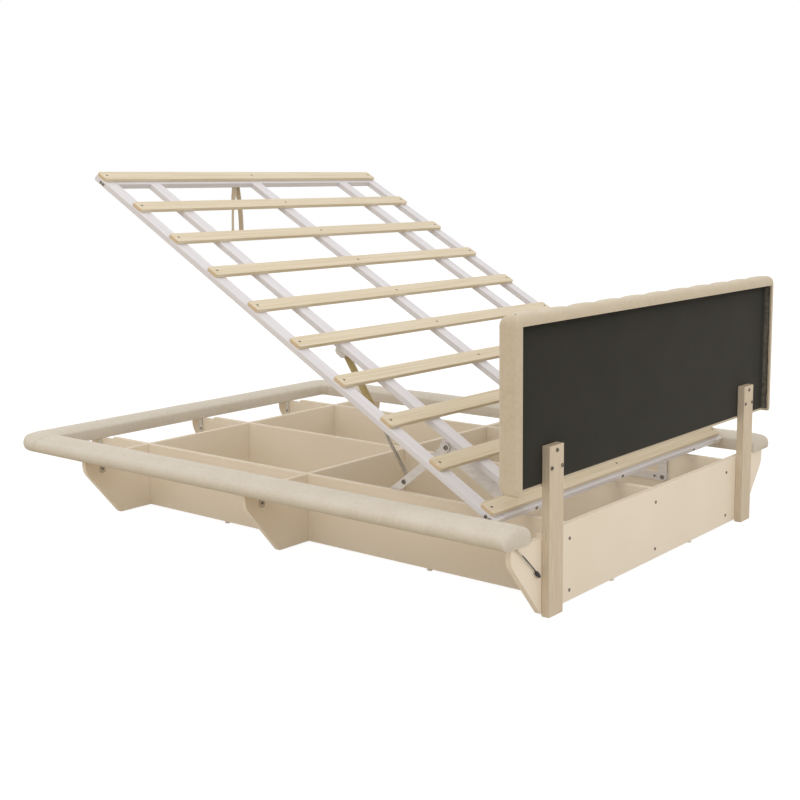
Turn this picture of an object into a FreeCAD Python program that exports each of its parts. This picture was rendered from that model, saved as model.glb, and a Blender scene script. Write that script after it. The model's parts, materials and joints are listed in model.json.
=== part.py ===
"""Upholstered floating storage bed with a lifting slatted platform, as separate pieces in one frame.

Millimetres. +Z is up, +Y points to the head end, +X is the right side as seen from the foot end.
The platform is drawn lifted, as far as its links let it go.
"""
import math
import os

import FreeCAD
import Part

Vector = FreeCAD.Vector

# Overall
LENGTH = 2174.0
WIDTH = 1610.0
TINY = 0.01
BEYOND = 30.0

# Base boards
PANEL_T = 18.0
PANEL_TOP = 226.0
PANEL_EASE = 0.8
GLIDE_H = 7.0
GLIDE_R = 8.0
GLIDE_PLUG_R = 2.5
GLIDE_PLUG = 12.0
LONG_INSET = 196.0
MID_SETBACK = 978.0
FOOT_INSET = 328.0
LAP_CLEAR = 0.4
WING_TOP = 216.0
WING_INSET = 41.0
FOOT_WING_INSET = 57.0
WING_EDGE = 44.0
WING_RUN = 138.0
WING_R = 60.0
WING_TIP_R = 9.0
WING_STEP_CLEAR = 60.0

# Posts
POST_W = 68.0
POST_T = 25.0
POST_INSET = 92.0
POST_TOP = 464.0
POST_EASE = 2.0

# Rails
RAIL_W = 124.0
RAIL_H = 54.0
RAIL_OVER = 8.0
RAIL_INNER_R = 6.0
RAIL_LEG = 24.0
RAIL_SEAM = 0.6
RAIL_FOOT_INNER = 2.0
RAIL_FOOT_OUTER = 22.0
RAIL_SHOULDER_INNER = 4.0
RAIL_SHOULDER_OUTER = 20.0
RAIL_CROWN = 10.0
RAIL_CROWN_INNER = 7.0
RAIL_BULGE_INNER_SHARE = 0.45
RAIL_BULGE_OUTER_SHARE = 0.41
RAIL_END_PAD = 14.0
RAIL_END_SHARES = (0.0, 0.5, 1.0)
RAIL_END_INSETS = (0.0, 1.5, 6.0)
CORE_MARGIN = 6.0
CORE_OUTER_MARGIN = 32.0
CORE_H = 34.0

# Rail brackets and their screws
BRACKET_LEG = 30.0
BRACKET_W = 22.0
BRACKET_T = 2.0
BRACKET_DROP = 56.0
BRACKET_SCREW_DROP = 42.0
BRACKET_R = 8.0
BRACKET_UNDER = 14.0
WOOD_SCREW_R = 2.0
WOOD_SCREW_HEAD_R = 4.2
WOOD_SCREW_HEAD = 2.0
WOOD_SCREW_LENGTH = 14.0
HOLE_CLEAR = 0.2
HEAD_ROUND_SHARE = 0.45
SOCKET_SHARE = 0.55
SOCKET_DEPTH_SHARE = 0.6
SOCKET_SIDES = 6

# Headboard
HEADBOARD_INSET = 36.0
HEADBOARD_Z = 356.0
HEADBOARD_TOP = 821.0
HEADBOARD_FRONT = 34.0
HEADBOARD_RIM = 20.0
HEADBOARD_RIM_TOP = 788.0
CHANNELS = 11
CHANNEL_BULGE = 13.0
CAP_HEIGHTS = (0.0, 12.0, 24.0, 33.0)
CAP_FRONT_INSETS = (0.0, 3.0, 11.0, 24.0)
CAP_SIDE_INSETS = (0.0, 1.0, 5.0, 14.0)
CAP_REAR_INSETS = (0.0, 0.0, 4.0, 14.0)
BOARD_T = 18.0
BOARD_MARGIN = 15.0
BOARD_LIFT = 6.0
COVER_T = 1.0
COVER_FOLD = 17.0
COVER_CLEAR = 0.5

# Post bolts and board screws
POST_BOLT_R = 3.0
POST_BOLT_HEAD_R = 5.5
POST_BOLT_HEAD = 3.0
POST_BOLT_LENGTH = 38.0
POST_BOLT_DROPS = (14.0, 59.0, 59.0)
POST_BOLT_OFFSETS = (0.0, -25.0, 25.0)
POST_BASE_BOLT_ZS = (62.0, 168.0)
PANEL_SCREW_R = 2.5
PANEL_SCREW_HEAD_R = 5.0
PANEL_SCREW_HEAD = 1.5
PANEL_SCREW_LENGTH = 50.0
PANEL_SCREW_ZS = (37.0, 183.0)

# Lift links
PIVOT_Z = 138.0
FRONT_PIVOT_SETBACK = 744.0
REAR_PIVOT_SETBACK = 228.0
FRONT_LINK_LENGTH = 389.85
FRONT_LINK_ANGLE = 37.81
OPEN_ANGLE = 29.33
LINK_T = 5.0
LINK_W = 25.0
REAR_LINK_W = 30.0
LINK_GAP = 0.5
BASE_PLATE_T = 4.0
BASE_PLATE_H = 26.0
BASE_PLATE_END = 20.0
BASE_PLATE_SCREW_SHARES = (0.36, 0.65, 0.938)
PIVOT_R = 4.8
PIVOT_CLEAR = 0.35
PIVOT_HEAD_R = 7.5
PIVOT_HEAD = 3.0
BASE_HEAD = 4.0

# Platform, measured from the foot edge of the first slat's top, along and across the platform
SLATS = 10
PLATFORM_SHORT = 300.0
LAST_SLAT_IN = 15.0
SLAT_W = 50.0
SLAT_T = 12.0
SLAT_CLEAR = 5.0
SLAT_CORNER_R = 9.0
SLAT_EASE = 1.5
TUBE_W = 45.0
TUBE_H = 20.0
TUBE_WALL = 1.5
TUBE_R = 3.0
SIDE_TUBE_IN = 20.5
FOOT_TUBE_IN = 17.0
HEAD_TUBE_IN = 2.0
TUBE_BUTT = 0.3
CAP_T = 2.0
CAP_PLUG = 12.0
CAP_CLEAR = 0.25
FRONT_EYE_SETBACK = 344.6
FRONT_EYE_DROP = 66.5
REAR_EYE_SETBACK = 104.9
REAR_EYE_DROP = 64.4
LINK_BRACKET_T = 5.0
LINK_BRACKET_GAP = 1.0
LINK_BRACKET_END = 26.0
LINK_BRACKET_LOW = 92.0
LINK_BRACKET_R = 18.0
FLANGE_T = 3.0
FLANGE_W = 9.0
STOP_PIN_R = 3.5
STOP_PIN_V = 11.5
STOP_PIN_DROP = 16.5
FRAME_BOLT_R = 3.0
FRAME_BOLT_HEAD_R = 5.0
FRAME_BOLT_HEAD = 2.5
BRACKET_BOLT_R = 2.0
BRACKET_BOLT_HEAD_R = 3.8
FRAME_BOLT_LENGTH = 56.0
FRAME_BOLT_SHORT = 14.0
SIDE_BOLT_INS = (16.0, 30.0)
BRACKET_BOLT_INS = (30.0, 266.0)
SLAT_SCREW_LENGTH = 16.0
SLAT_SCREW_SINK = 0.2

# Gas struts
STRUT_OFFSET = 21.5
STRUT_EYE_SETBACK = 829.0
STRUT_EYE_DROP = 54.0
STRUT_LINK_SHARE = 0.476
STRUT_EYE_R = 9.0
STRUT_EYE_T = 11.0
STRUT_STUD_R = 4.0
STRUT_NECK = 16.0
STRUT_BODY_R = 11.0
STRUT_BODY = 256.0
STRUT_BORE_R = 5.6
STRUT_BORE_FROM = 24.0
STRUT_ROD_R = 5.0
STRUT_ROD_FROM = 198.0
STRUT_PLATE_W = 44.0
STRUT_PLATE_LOW = 68.0
STRUT_PLATE_R = 14.0
STRUT_PLATE_BOLT_OUT = 14.0
STUD_STOP = 0.5

# Pull strap
STRAP_X = 78.0
STRAP_HANG = 205.0
STRAP_W = 25.0
STRAP_T = 2.2
STRAP_HALF_GAP = 22.0
STRAP_NECK = 9.0
STRAP_NECK_DROP = 12.0
STRAP_SHOULDER_DROP = 70.0
STRAP_GAP = 0.3

# Low-voltage lead
LEAD_R = 1.75
LEAD_GAP = 0.3
LEAD_XS = (746.0, 720.6, 689.4, 668.0, 657.6)
LEAD_ZS = (214.6, 193.2, 164.2, 144.5, 133.5)
LEAD_BEND_SHARE = 0.45
PLUG_R = 5.5
PLUG_LENGTH = 18.0
PLUG_TIP_R = 4.6
PLUG_TIP = 7.0

# Worked out from the sizes above
HEAD_Y = LENGTH / 2 - POST_T - POST_BOLT_HEAD
MID_Y = HEAD_Y - MID_SETBACK
FOOT_END = -LENGTH / 2 + FOOT_WING_INSET
FOOT_Y = FOOT_END + FOOT_INSET
SIDE_END = WIDTH / 2 - WING_INSET
RAIL_END = HEAD_Y + RAIL_OVER
RAIL_INNER_X = WIDTH / 2 - RAIL_W
RAIL_INNER_Y = -LENGTH / 2 + RAIL_W
SEAM_Y = RAIL_INNER_Y + RAIL_LEG
HEADBOARD_W = WIDTH - 2 * HEADBOARD_INSET
LONG_X = RAIL_INNER_X - LONG_INSET
POST_X = RAIL_INNER_X - POST_INSET
PANEL_FACE_X = LONG_X - PANEL_T / 2
LAP_W = PANEL_T + 2 * LAP_CLEAR
LAP_Z = (PANEL_TOP + GLIDE_H) / 2
TUBE_TOP = -SLAT_T
TUBE_LOW = TUBE_TOP - TUBE_H
PLATFORM_LENGTH = LENGTH - PLATFORM_SHORT
SLAT_PITCH = (PLATFORM_LENGTH - LAST_SLAT_IN - SLAT_W) / (SLATS - 1)
SLAT_LENGTH = 2 * (RAIL_INNER_X - SLAT_CLEAR)
SIDE_TUBE_X = SLAT_LENGTH / 2 - SIDE_TUBE_IN
BASE_PLATE_X = PANEL_FACE_X - BASE_PLATE_T
LINK_X = BASE_PLATE_X - LINK_GAP - LINK_T
LINK_BRACKET_X = LINK_X - LINK_BRACKET_GAP - LINK_BRACKET_T
INNER_TUBE_X = LINK_BRACKET_X - FLANGE_W + TUBE_W / 2
FRONT_EYE_V = PLATFORM_LENGTH - FRONT_EYE_SETBACK
REAR_EYE_V = PLATFORM_LENGTH - REAR_EYE_SETBACK
STRUT_EYE_V = PLATFORM_LENGTH - STRUT_EYE_SETBACK
STRUT_X = LINK_X - STRUT_OFFSET
STRAP_V = FOOT_TUBE_IN + TUBE_W / 2
X_AXIS = Vector(1, 0, 0)
Y_AXIS = Vector(0, 1, 0)
Z_AXIS = Vector(0, 0, 1)
ORIGIN = Vector(0, 0, 0)

parts = {}


def box(x0, x1, y0, y1, z0, z1):
    """A block between two corners."""
    return Part.makeBox(x1 - x0, y1 - y0, z1 - z0, Vector(x0, y0, z0))


def rod(start, axis, radius, length):
    """A round bar from a point along an axis."""
    return Part.makeCylinder(radius, length, start, axis)


def runs_along(edge, axis):
    """Whether an edge is straight and lies along an axis."""
    span = edge.Vertexes[-1].Point.sub(edge.Vertexes[0].Point)
    return span.Length > TINY and span.cross(axis).Length < TINY


def rounded_bar(x0, x1, y0, y1, z0, z1, axis, radius):
    """A block with its edges along one axis rounded."""
    block = box(x0, x1, y0, y1, z0, z1)
    return block.makeFillet(radius, [edge for edge in block.Edges if runs_along(edge, axis)])


def eased(board, radius, through):
    """A flat piece with the edges of both its faces rounded, for a thickness along an axis."""
    return board.makeFillet(radius, [edge for edge in board.Edges if not runs_along(edge, through)])


def on_yz(x):
    """Places outline points on the plane across X."""
    return lambda a, b: Vector(x, a, b)


def on_xz(y):
    """Places outline points on the plane across Y."""
    return lambda a, b: Vector(a, y, b)


def on_xy(z):
    """Places outline points on a level plane."""
    return lambda a, b: Vector(a, b, z)


def corner_points(before, corner, after):
    """Where a corner's rounding starts, its middle and its end."""
    a, b, radius = corner
    if radius == 0:
        return (a, b), None, (a, b)
    one = math.hypot(before[0] - a, before[1] - b)
    two = math.hypot(after[0] - a, after[1] - b)
    e1 = ((before[0] - a) / one, (before[1] - b) / one)
    e2 = ((after[0] - a) / two, (after[1] - b) / two)
    half = math.acos(e1[0] * e2[0] + e1[1] * e2[1]) / 2
    setback = radius / math.tan(half)
    spread = math.hypot(e1[0] + e2[0], e1[1] + e2[1])
    bisector = ((e1[0] + e2[0]) / spread, (e1[1] + e2[1]) / spread)
    reach = radius / math.sin(half) - radius
    start = (a + e1[0] * setback, b + e1[1] * setback)
    middle = (a + bisector[0] * reach, b + bisector[1] * reach)
    end = (a + e2[0] * setback, b + e2[1] * setback)
    return start, middle, end


def outline(points, place):
    """A closed wire through (a, b, radius) corners."""
    count = len(points)
    corners = []
    for i in range(count):
        corners.append(corner_points(points[i - 1], points[i], points[(i + 1) % count]))
    edges = []
    for i in range(count):
        start, middle, end = corners[i]
        if middle:
            edges.append(Part.Arc(place(*start), place(*middle), place(*end)).toShape())
        following = corners[(i + 1) % count][0]
        if math.hypot(end[0] - following[0], end[1] - following[1]) > TINY:
            edges.append(Part.LineSegment(place(*end), place(*following)).toShape())
    return Part.Wire(edges)


def plate(points, place, sweep):
    """A flat piece with the outline given, as thick as the sweep."""
    return Part.Face(outline(points, place)).extrude(sweep)


def mirrored(shape):
    """The same piece on the other side of the bed."""
    return shape.mirror(ORIGIN, X_AXIS)


def both_sides(name, shape):
    """Stores a right-hand piece and its mirror image."""
    parts[name + "_right"] = shape
    parts[name + "_left"] = mirrored(shape)


def group(shapes):
    """Separate solids that share one node."""
    return Part.makeCompound(shapes)


def fastener(point, direction, radius, length, head_radius, head):
    """A bolt whose round socket head sits at the point, on a face whose way in is the direction."""
    knob = rod(Vector(0, 0, -head), Z_AXIS, head_radius, head)
    rim = [edge for edge in knob.Edges if edge.Closed and edge.CenterOfMass.z < -head / 2]
    knob = knob.makeFillet(HEAD_ROUND_SHARE * head, rim)
    corners = []
    for i in range(SOCKET_SIDES + 1):
        angle = 2 * math.pi * i / SOCKET_SIDES
        reach = SOCKET_SHARE * head_radius
        corners.append(Vector(reach * math.cos(angle), reach * math.sin(angle), -head))
    socket = Part.Face(Part.makePolygon(corners)).extrude(Vector(0, 0, SOCKET_DEPTH_SHARE * head))
    bolt = rod(ORIGIN, Z_AXIS, radius, length).fuse(knob.cut(socket)).removeSplitter()
    bolt.Placement = FreeCAD.Placement(point, FreeCAD.Rotation(Z_AXIS, direction))
    return bolt


def hole(point, direction, radius, length):
    """The clearance hole for a fastener's shank, a little past both ends."""
    back = Vector(direction).multiply(-HOLE_CLEAR)
    return rod(point.add(back), direction, radius + HOLE_CLEAR, length + 2 * HOLE_CLEAR)


def drilled(shape, places, radius, length):
    """A piece with a clearance hole at each (point, direction)."""
    return shape.cut([hole(point, direction, radius, length) for point, direction in places])


def on_platform(shape):
    """Moves a piece drawn flat, along the platform, to where the lifted platform holds it."""
    placed = shape.copy()
    placed.Placement = PLATFORM
    return placed


def platform_point(x, v, drop):
    """A point of the platform, in the bed's frame."""
    return PLATFORM.multVec(Vector(x, v, -drop))


def pivot_frame():
    """The link pivots in the bed's frame and the lifted platform's place."""
    turn = math.radians(FRONT_LINK_ANGLE)
    front = Vector(0, HEAD_Y - FRONT_PIVOT_SETBACK, PIVOT_Z)
    rear = Vector(0, HEAD_Y - REAR_PIVOT_SETBACK, PIVOT_Z)
    eye = front.add(Vector(0, math.cos(turn), math.sin(turn)).multiply(FRONT_LINK_LENGTH))
    rotation = FreeCAD.Rotation(X_AXIS, -OPEN_ANGLE)
    local = rotation.multVec(Vector(0, FRONT_EYE_V, -FRONT_EYE_DROP))
    return front, rear, eye, FreeCAD.Placement(eye.sub(local), rotation)


FRONT_PIVOT, REAR_PIVOT, FRONT_EYE, PLATFORM = pivot_frame()
REAR_EYE = platform_point(0, REAR_EYE_V, REAR_EYE_DROP)
STRUT_EYE = platform_point(0, STRUT_EYE_V, STRUT_EYE_DROP)
STRUT_FOOT = FRONT_PIVOT.add(FRONT_EYE.sub(FRONT_PIVOT).multiply(STRUT_LINK_SHARE))


def wing_corners(end, sign):
    """The wing's corners from its bottom tip up to the rail, going outwards."""
    inner = end - sign * WING_RUN
    return [(inner, GLIDE_H, WING_TIP_R), (end, WING_TOP - WING_EDGE, WING_R), (end, WING_TOP, 0)]


def long_panel(x):
    """A board along the bed, running out under the foot rail and halved over the cross boards."""
    step = RAIL_INNER_Y + WING_STEP_CLEAR
    head = HEAD_Y - PANEL_T
    points = wing_corners(FOOT_END, -1)
    points += [(step, WING_TOP, 0), (step, PANEL_TOP, 0), (head, PANEL_TOP, 0), (head, GLIDE_H, 0)]
    board = eased(plate(points, on_yz(x - PANEL_T / 2), Vector(PANEL_T, 0, 0)), PANEL_EASE, X_AXIS)
    for face in (MID_Y, FOOT_Y):
        low = face - PANEL_T - LAP_CLEAR
        slot = box(x - PANEL_T, x + PANEL_T, low, low + LAP_W, 0, LAP_Z + LAP_CLEAR)
        board = board.cut(slot)
    return board


def cross_panel(face, halved):
    """A board across the bed, running out under both side rails."""
    step = RAIL_INNER_X - WING_STEP_CLEAR
    right = wing_corners(SIDE_END, 1) + [(step, WING_TOP, 0), (step, PANEL_TOP, 0)]
    left = [(-a, b, radius) for a, b, radius in reversed(right)]
    board = eased(plate(right + left, on_xz(face - PANEL_T), Vector(0, PANEL_T, 0)), PANEL_EASE, Y_AXIS)
    if halved:
        for x in (-LONG_X, 0.0, LONG_X):
            y0 = face - 2 * PANEL_T
            slot = box(x - LAP_W / 2, x + LAP_W / 2, y0, face + PANEL_T, LAP_Z, PANEL_TOP + BEYOND)
            board = board.cut(slot)
    return board


def glides():
    """Nail-in glides under the boards, with their shanks, and where they go."""
    spots = []
    for x in (-LONG_X, 0.0, LONG_X):
        spots.append((x, (FOOT_Y + FOOT_END) / 2))
        spots.append((x, (FOOT_Y + MID_Y) / 2))
        spots.append((x, (MID_Y + HEAD_Y) / 2))
    for face in (FOOT_Y, MID_Y, HEAD_Y):
        for x in (-LONG_X / 2, LONG_X / 2):
            spots.append((x, face - PANEL_T / 2))
    shapes = []
    places = []
    for x, y in spots:
        disc = rod(Vector(x, y, 0), Z_AXIS, GLIDE_R, GLIDE_H)
        nail = rod(Vector(x, y, GLIDE_H), Z_AXIS, GLIDE_PLUG_R, GLIDE_PLUG)
        shapes.append(disc.fuse(nail).removeSplitter())
        places.append((Vector(x, y, GLIDE_H), Z_AXIS))
    return shapes, places


def rail_section(place, inset):
    """The padded rail's outline: flat below, full at the sides, crowned above."""
    height = RAIL_H - inset
    inner = inset
    outer = RAIL_W - inset
    p1 = place(RAIL_FOOT_INNER + inset, 0)
    p2 = place(RAIL_W - RAIL_FOOT_OUTER - inset, 0)
    p3 = place(outer - RAIL_SHOULDER_OUTER, height - RAIL_CROWN)
    p4 = place(inner + RAIL_SHOULDER_INNER, height - RAIL_CROWN_INNER)
    edges = [
        Part.LineSegment(p1, p2).toShape(),
        Part.Arc(p2, place(outer, RAIL_BULGE_OUTER_SHARE * height), p3).toShape(),
        Part.Arc(p3, place(RAIL_W / 2, height), p4).toShape(),
        Part.Arc(p4, place(inner, RAIL_BULGE_INNER_SHARE * height), p1).toShape(),
    ]
    return Part.Wire(edges)


def side_rail_place(y):
    """Puts the section across the right rail at a distance along the bed."""
    return lambda s, h: Vector(RAIL_INNER_X + s, y, WING_TOP + h)


def foot_rail_place(x):
    """Puts the section across the foot rail."""
    return lambda s, h: Vector(x, RAIL_INNER_Y - s, WING_TOP + h)


def side_rail_form():
    """The right rail's padded outside, from the seam to its drawn-in head end."""
    start = SEAM_Y + RAIL_SEAM
    finish = RAIL_END - RAIL_END_PAD
    body = Part.Face(rail_section(side_rail_place(start), 0.0)).extrude(Vector(0, finish - start, 0))
    rings = []
    for share, inset in zip(RAIL_END_SHARES, RAIL_END_INSETS):
        rings.append(rail_section(side_rail_place(finish + share * RAIL_END_PAD), inset))
    return body.fuse(Part.makeLoft(rings, True, True)).removeSplitter()


def foot_rail_form():
    """The foot rail's padded outside: a straight run, two turned corners and their short legs."""
    x = RAIL_INNER_X - RAIL_INNER_R
    y = RAIL_INNER_Y + RAIL_INNER_R
    straight = Part.Face(rail_section(foot_rail_place(-x), 0.0)).extrude(Vector(2 * x, 0, 0))
    corner = Part.Face(rail_section(foot_rail_place(x), 0.0)).revolve(Vector(x, y, 0), Z_AXIS, 90)
    leg = Part.Face(rail_section(side_rail_place(y), 0.0)).extrude(Vector(0, SEAM_Y - y, 0))
    return straight.fuse([corner, leg, mirrored(corner), mirrored(leg)]).removeSplitter()


def rail_cores():
    """The rails' timber cores: a straight board in each side rail, a bent one round the foot."""
    inner = RAIL_INNER_X + CORE_MARGIN
    outer = WIDTH / 2 - CORE_OUTER_MARGIN
    side = box(inner, outer, SEAM_Y + RAIL_SEAM, RAIL_END - RAIL_END_PAD, WING_TOP, WING_TOP + CORE_H)
    outer_y = -LENGTH / 2 + CORE_OUTER_MARGIN
    inner_y = RAIL_INNER_Y - CORE_MARGIN
    outer_r = RAIL_W + RAIL_INNER_R - CORE_OUTER_MARGIN
    inner_r = RAIL_INNER_R + CORE_MARGIN
    right = [(outer, outer_y, outer_r), (outer, SEAM_Y, 0), (inner, SEAM_Y, 0), (inner, inner_y, inner_r)]
    left = [(-a, b, radius) for a, b, radius in reversed(right)]
    return side, plate(right + left, on_xy(WING_TOP), Vector(0, 0, CORE_H))


def rail_brackets():
    """L brackets beside the wings, under the rails, with their screws."""
    spots = []
    side = RAIL_INNER_X + BRACKET_UNDER
    foot = RAIL_INNER_Y - BRACKET_UNDER
    low = WING_TOP - BRACKET_DROP
    for sign in (1, -1):
        spots.append((Vector(sign * side, FOOT_Y, 0), Y_AXIS))
        spots.append((Vector(sign * side, MID_Y, 0), Y_AXIS))
        spots.append((Vector(sign * side, HEAD_Y - PANEL_T, 0), Y_AXIS.negative()))
    for x in (-LONG_X, 0.0, LONG_X):
        spots.append((Vector(x + PANEL_T / 2, foot, 0), X_AXIS))
    brackets = []
    screws = []
    holes = []
    for point, out in spots:
        along = Z_AXIS.cross(out)
        corner = point.sub(Vector(along).multiply(BRACKET_W / 2)).add(Vector(0, 0, WING_TOP))
        profile = [
            corner,
            corner.add(Vector(out).multiply(BRACKET_LEG)),
            corner.add(Vector(out).multiply(BRACKET_LEG)).sub(Vector(0, 0, BRACKET_T)),
            corner.add(Vector(out).multiply(BRACKET_T)).sub(Vector(0, 0, BRACKET_T)),
            corner.add(Vector(out).multiply(BRACKET_T)).sub(Vector(0, 0, BRACKET_DROP)),
            corner.sub(Vector(0, 0, BRACKET_DROP)),
        ]
        face = Part.Face(Part.makePolygon(profile + [corner]))
        bracket = face.extrude(Vector(along).multiply(BRACKET_W))
        ends = [edge for edge in bracket.Edges if edge.Length < 2 * BRACKET_T]
        lowest = [edge for edge in ends if edge.CenterOfMass.z < low + BRACKET_T / 2]
        bracket = bracket.makeFillet(BRACKET_R, lowest)
        middle = point.add(Vector(0, 0, WING_TOP))
        into_wing = middle.add(Vector(out).multiply(BRACKET_T)).sub(Vector(0, 0, BRACKET_SCREW_DROP))
        into_rail = middle.add(Vector(out).multiply(BRACKET_LEG / 2)).sub(Vector(0, 0, BRACKET_T))
        places = [(into_wing, out.negative()), (into_rail, Z_AXIS)]
        holes += places
        brackets.append(drilled(bracket, places, WOOD_SCREW_R, WOOD_SCREW_LENGTH))
    for spot, direction in holes:
        screws.append(wood_screw(spot, direction))
    return brackets, screws, holes


def wood_screw(point, direction):
    """A small pan-head screw."""
    return fastener(
        point, direction, WOOD_SCREW_R, WOOD_SCREW_LENGTH, WOOD_SCREW_HEAD_R, WOOD_SCREW_HEAD
    )


def headboard_plan(front_inset, side_inset, rear_inset, place):
    """The headboard from above: straight back and sides, one arc for each channel of the front."""
    half = HEADBOARD_W / 2 - side_inset
    rear = HEAD_Y + POST_T - rear_inset
    front = HEAD_Y - HEADBOARD_FRONT + front_inset
    step = 2 * half / CHANNELS
    edges = [
        Part.LineSegment(place(half, front), place(half, rear)).toShape(),
        Part.LineSegment(place(half, rear), place(-half, rear)).toShape(),
        Part.LineSegment(place(-half, rear), place(-half, front)).toShape(),
    ]
    for i in range(CHANNELS):
        x0 = -half + i * step
        crest = place(x0 + step / 2, front - CHANNEL_BULGE)
        edges.append(Part.Arc(place(x0, front), crest, place(x0 + step, front)).toShape())
    return Part.Wire(Part.__sortEdges__(edges))


def headboard_cap(level, sign):
    """The drawn-in top or bottom of the padding, a stack of lofts from a level."""
    rings = []
    for height, front, side, rear in zip(CAP_HEIGHTS, CAP_FRONT_INSETS, CAP_SIDE_INSETS, CAP_REAR_INSETS):
        rings.append(headboard_plan(front, side, rear, on_xy(level + sign * height)))
    return Part.makeLoft(rings, True, True)


def headboard_pad():
    """The upholstered outside: channelled front, drawn-in top and bottom, rim round the back."""
    cap = CAP_HEIGHTS[-1]
    low = HEADBOARD_Z + cap
    high = HEADBOARD_TOP - cap
    body = Part.Face(headboard_plan(0.0, 0.0, 0.0, on_xy(low))).extrude(Vector(0, 0, high - low))
    body = body.fuse([headboard_cap(high, 1), headboard_cap(low, -1)])
    half = HEADBOARD_W / 2 - HEADBOARD_RIM
    rear = HEAD_Y + POST_T + BEYOND
    fold = HEADBOARD_Z + COVER_FOLD
    recess = box(-half, half, HEAD_Y - COVER_T, rear, fold, HEADBOARD_RIM_TOP)
    mouth = box(-half, half, HEAD_Y, rear, HEADBOARD_Z - BEYOND, fold)
    return body.cut([recess, mouth, headboard_board()])


def headboard_board():
    """The stiff board inside the headboard."""
    half = HEADBOARD_W / 2 - BOARD_MARGIN
    rear = HEAD_Y - COVER_T
    low = HEADBOARD_Z + BOARD_LIFT
    return box(-half, half, rear - BOARD_T, rear, low, HEADBOARD_RIM_TOP)


def headboard_cover():
    """The thin black cloth across the back."""
    half = HEADBOARD_W / 2 - HEADBOARD_RIM - COVER_CLEAR
    low = HEADBOARD_Z + COVER_FOLD + COVER_CLEAR
    return box(-half, half, HEAD_Y - COVER_T, HEAD_Y, low, HEADBOARD_RIM_TOP - COVER_CLEAR)


def post_bolt_places():
    """Bolts from behind into the headboard, and from the head board's front into each post."""
    upper = []
    lower = []
    for sign in (1, -1):
        for drop, offset in zip(POST_BOLT_DROPS, POST_BOLT_OFFSETS):
            spot = Vector(sign * POST_X + offset, HEAD_Y + POST_T, POST_TOP - drop)
            upper.append((spot, Y_AXIS.negative()))
        for z in POST_BASE_BOLT_ZS:
            lower.append((Vector(sign * POST_X, HEAD_Y - PANEL_T, z), Y_AXIS))
    return upper, lower


def link_bar(start, end, width, x):
    """A flat bar with round ends from one pivot to another."""
    length = end.sub(start).Length
    rise = math.degrees(math.atan2(end.z - start.z, end.y - start.y))
    half = width / 2
    round_end = half - TINY
    points = [
        (-half, -half, round_end),
        (length + half, -half, round_end),
        (length + half, half, round_end),
        (-half, half, round_end),
    ]
    bar = plate(points, on_yz(x), Vector(LINK_T, 0, 0))
    bar.rotate(ORIGIN, X_AXIS, rise)
    bar.translate(Vector(0, start.y, start.z))
    return bar


def at_x(point, x):
    """The point moved to a place across the bed."""
    return Vector(x, point.y, point.z)


def pivot_hole(point):
    """A hole for a pivot bolt, through every layer of the linkage."""
    return rod(at_x(point, LINK_BRACKET_X - BEYOND), X_AXIS, PIVOT_R + PIVOT_CLEAR, PANEL_T + 2 * BEYOND)


def base_plate():
    """The plate on the long board's inner face that carries both lower pivots, with its screws."""
    low = PIVOT_Z - BASE_PLATE_H / 2
    high = PIVOT_Z + BASE_PLATE_H / 2
    y0 = FRONT_PIVOT.y - BASE_PLATE_END
    y1 = REAR_PIVOT.y + BASE_PLATE_END
    end_r = BASE_PLATE_H / 2 - TINY
    points = [(y0, low, end_r), (y1, low, end_r), (y1, high, end_r), (y0, high, end_r)]
    shape = plate(points, on_yz(BASE_PLATE_X), Vector(BASE_PLATE_T, 0, 0))
    shape = shape.cut([pivot_hole(FRONT_PIVOT), pivot_hole(REAR_PIVOT)])
    places = []
    for share in BASE_PLATE_SCREW_SHARES:
        y = FRONT_PIVOT.y + share * (REAR_PIVOT.y - FRONT_PIVOT.y)
        places.append((Vector(BASE_PLATE_X, y, PIVOT_Z), X_AXIS))
    return drilled(shape, places, WOOD_SCREW_R, WOOD_SCREW_LENGTH), places


def base_pivot_bolt(point):
    """A lower pivot bolt, headed on the link's inner side and ending inside the base plate."""
    length = PANEL_FACE_X - LINK_X - LINK_GAP
    return fastener(at_x(point, LINK_X), X_AXIS, PIVOT_R, length, PIVOT_HEAD_R, BASE_HEAD)


def upper_bolt(point, reach):
    """A bolt headed on the link's outer side, reaching inwards past the link."""
    outer = at_x(point, LINK_X + LINK_T)
    return fastener(outer, X_AXIS.negative(), PIVOT_R, LINK_T + reach, PIVOT_HEAD_R, PIVOT_HEAD)


def tube_along(x, v0, v1):
    """A hollow platform tube running along the bed, drawn flat."""
    half = TUBE_W / 2
    inside = half - TUBE_WALL
    low = TUBE_LOW + TUBE_WALL
    high = TUBE_TOP - TUBE_WALL
    outer = rounded_bar(x - half, x + half, v0, v1, TUBE_LOW, TUBE_TOP, Y_AXIS, TUBE_R)
    bore_r = TUBE_R - TUBE_WALL
    bore = rounded_bar(x - inside, x + inside, v0 - BEYOND, v1 + BEYOND, low, high, Y_AXIS, bore_r)
    return outer.cut(bore)


def tube_across(v0):
    """A hollow platform tube running across, drawn flat."""
    x = SIDE_TUBE_X - TUBE_W / 2 - TUBE_BUTT
    low = TUBE_LOW + TUBE_WALL
    high = TUBE_TOP - TUBE_WALL
    y0 = v0 + TUBE_WALL
    y1 = v0 + TUBE_W - TUBE_WALL
    outer = rounded_bar(-x, x, v0, v0 + TUBE_W, TUBE_LOW, TUBE_TOP, X_AXIS, TUBE_R)
    bore = rounded_bar(-x - BEYOND, x + BEYOND, y0, y1, low, high, X_AXIS, TUBE_R - TUBE_WALL)
    return outer.cut(bore)


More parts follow.
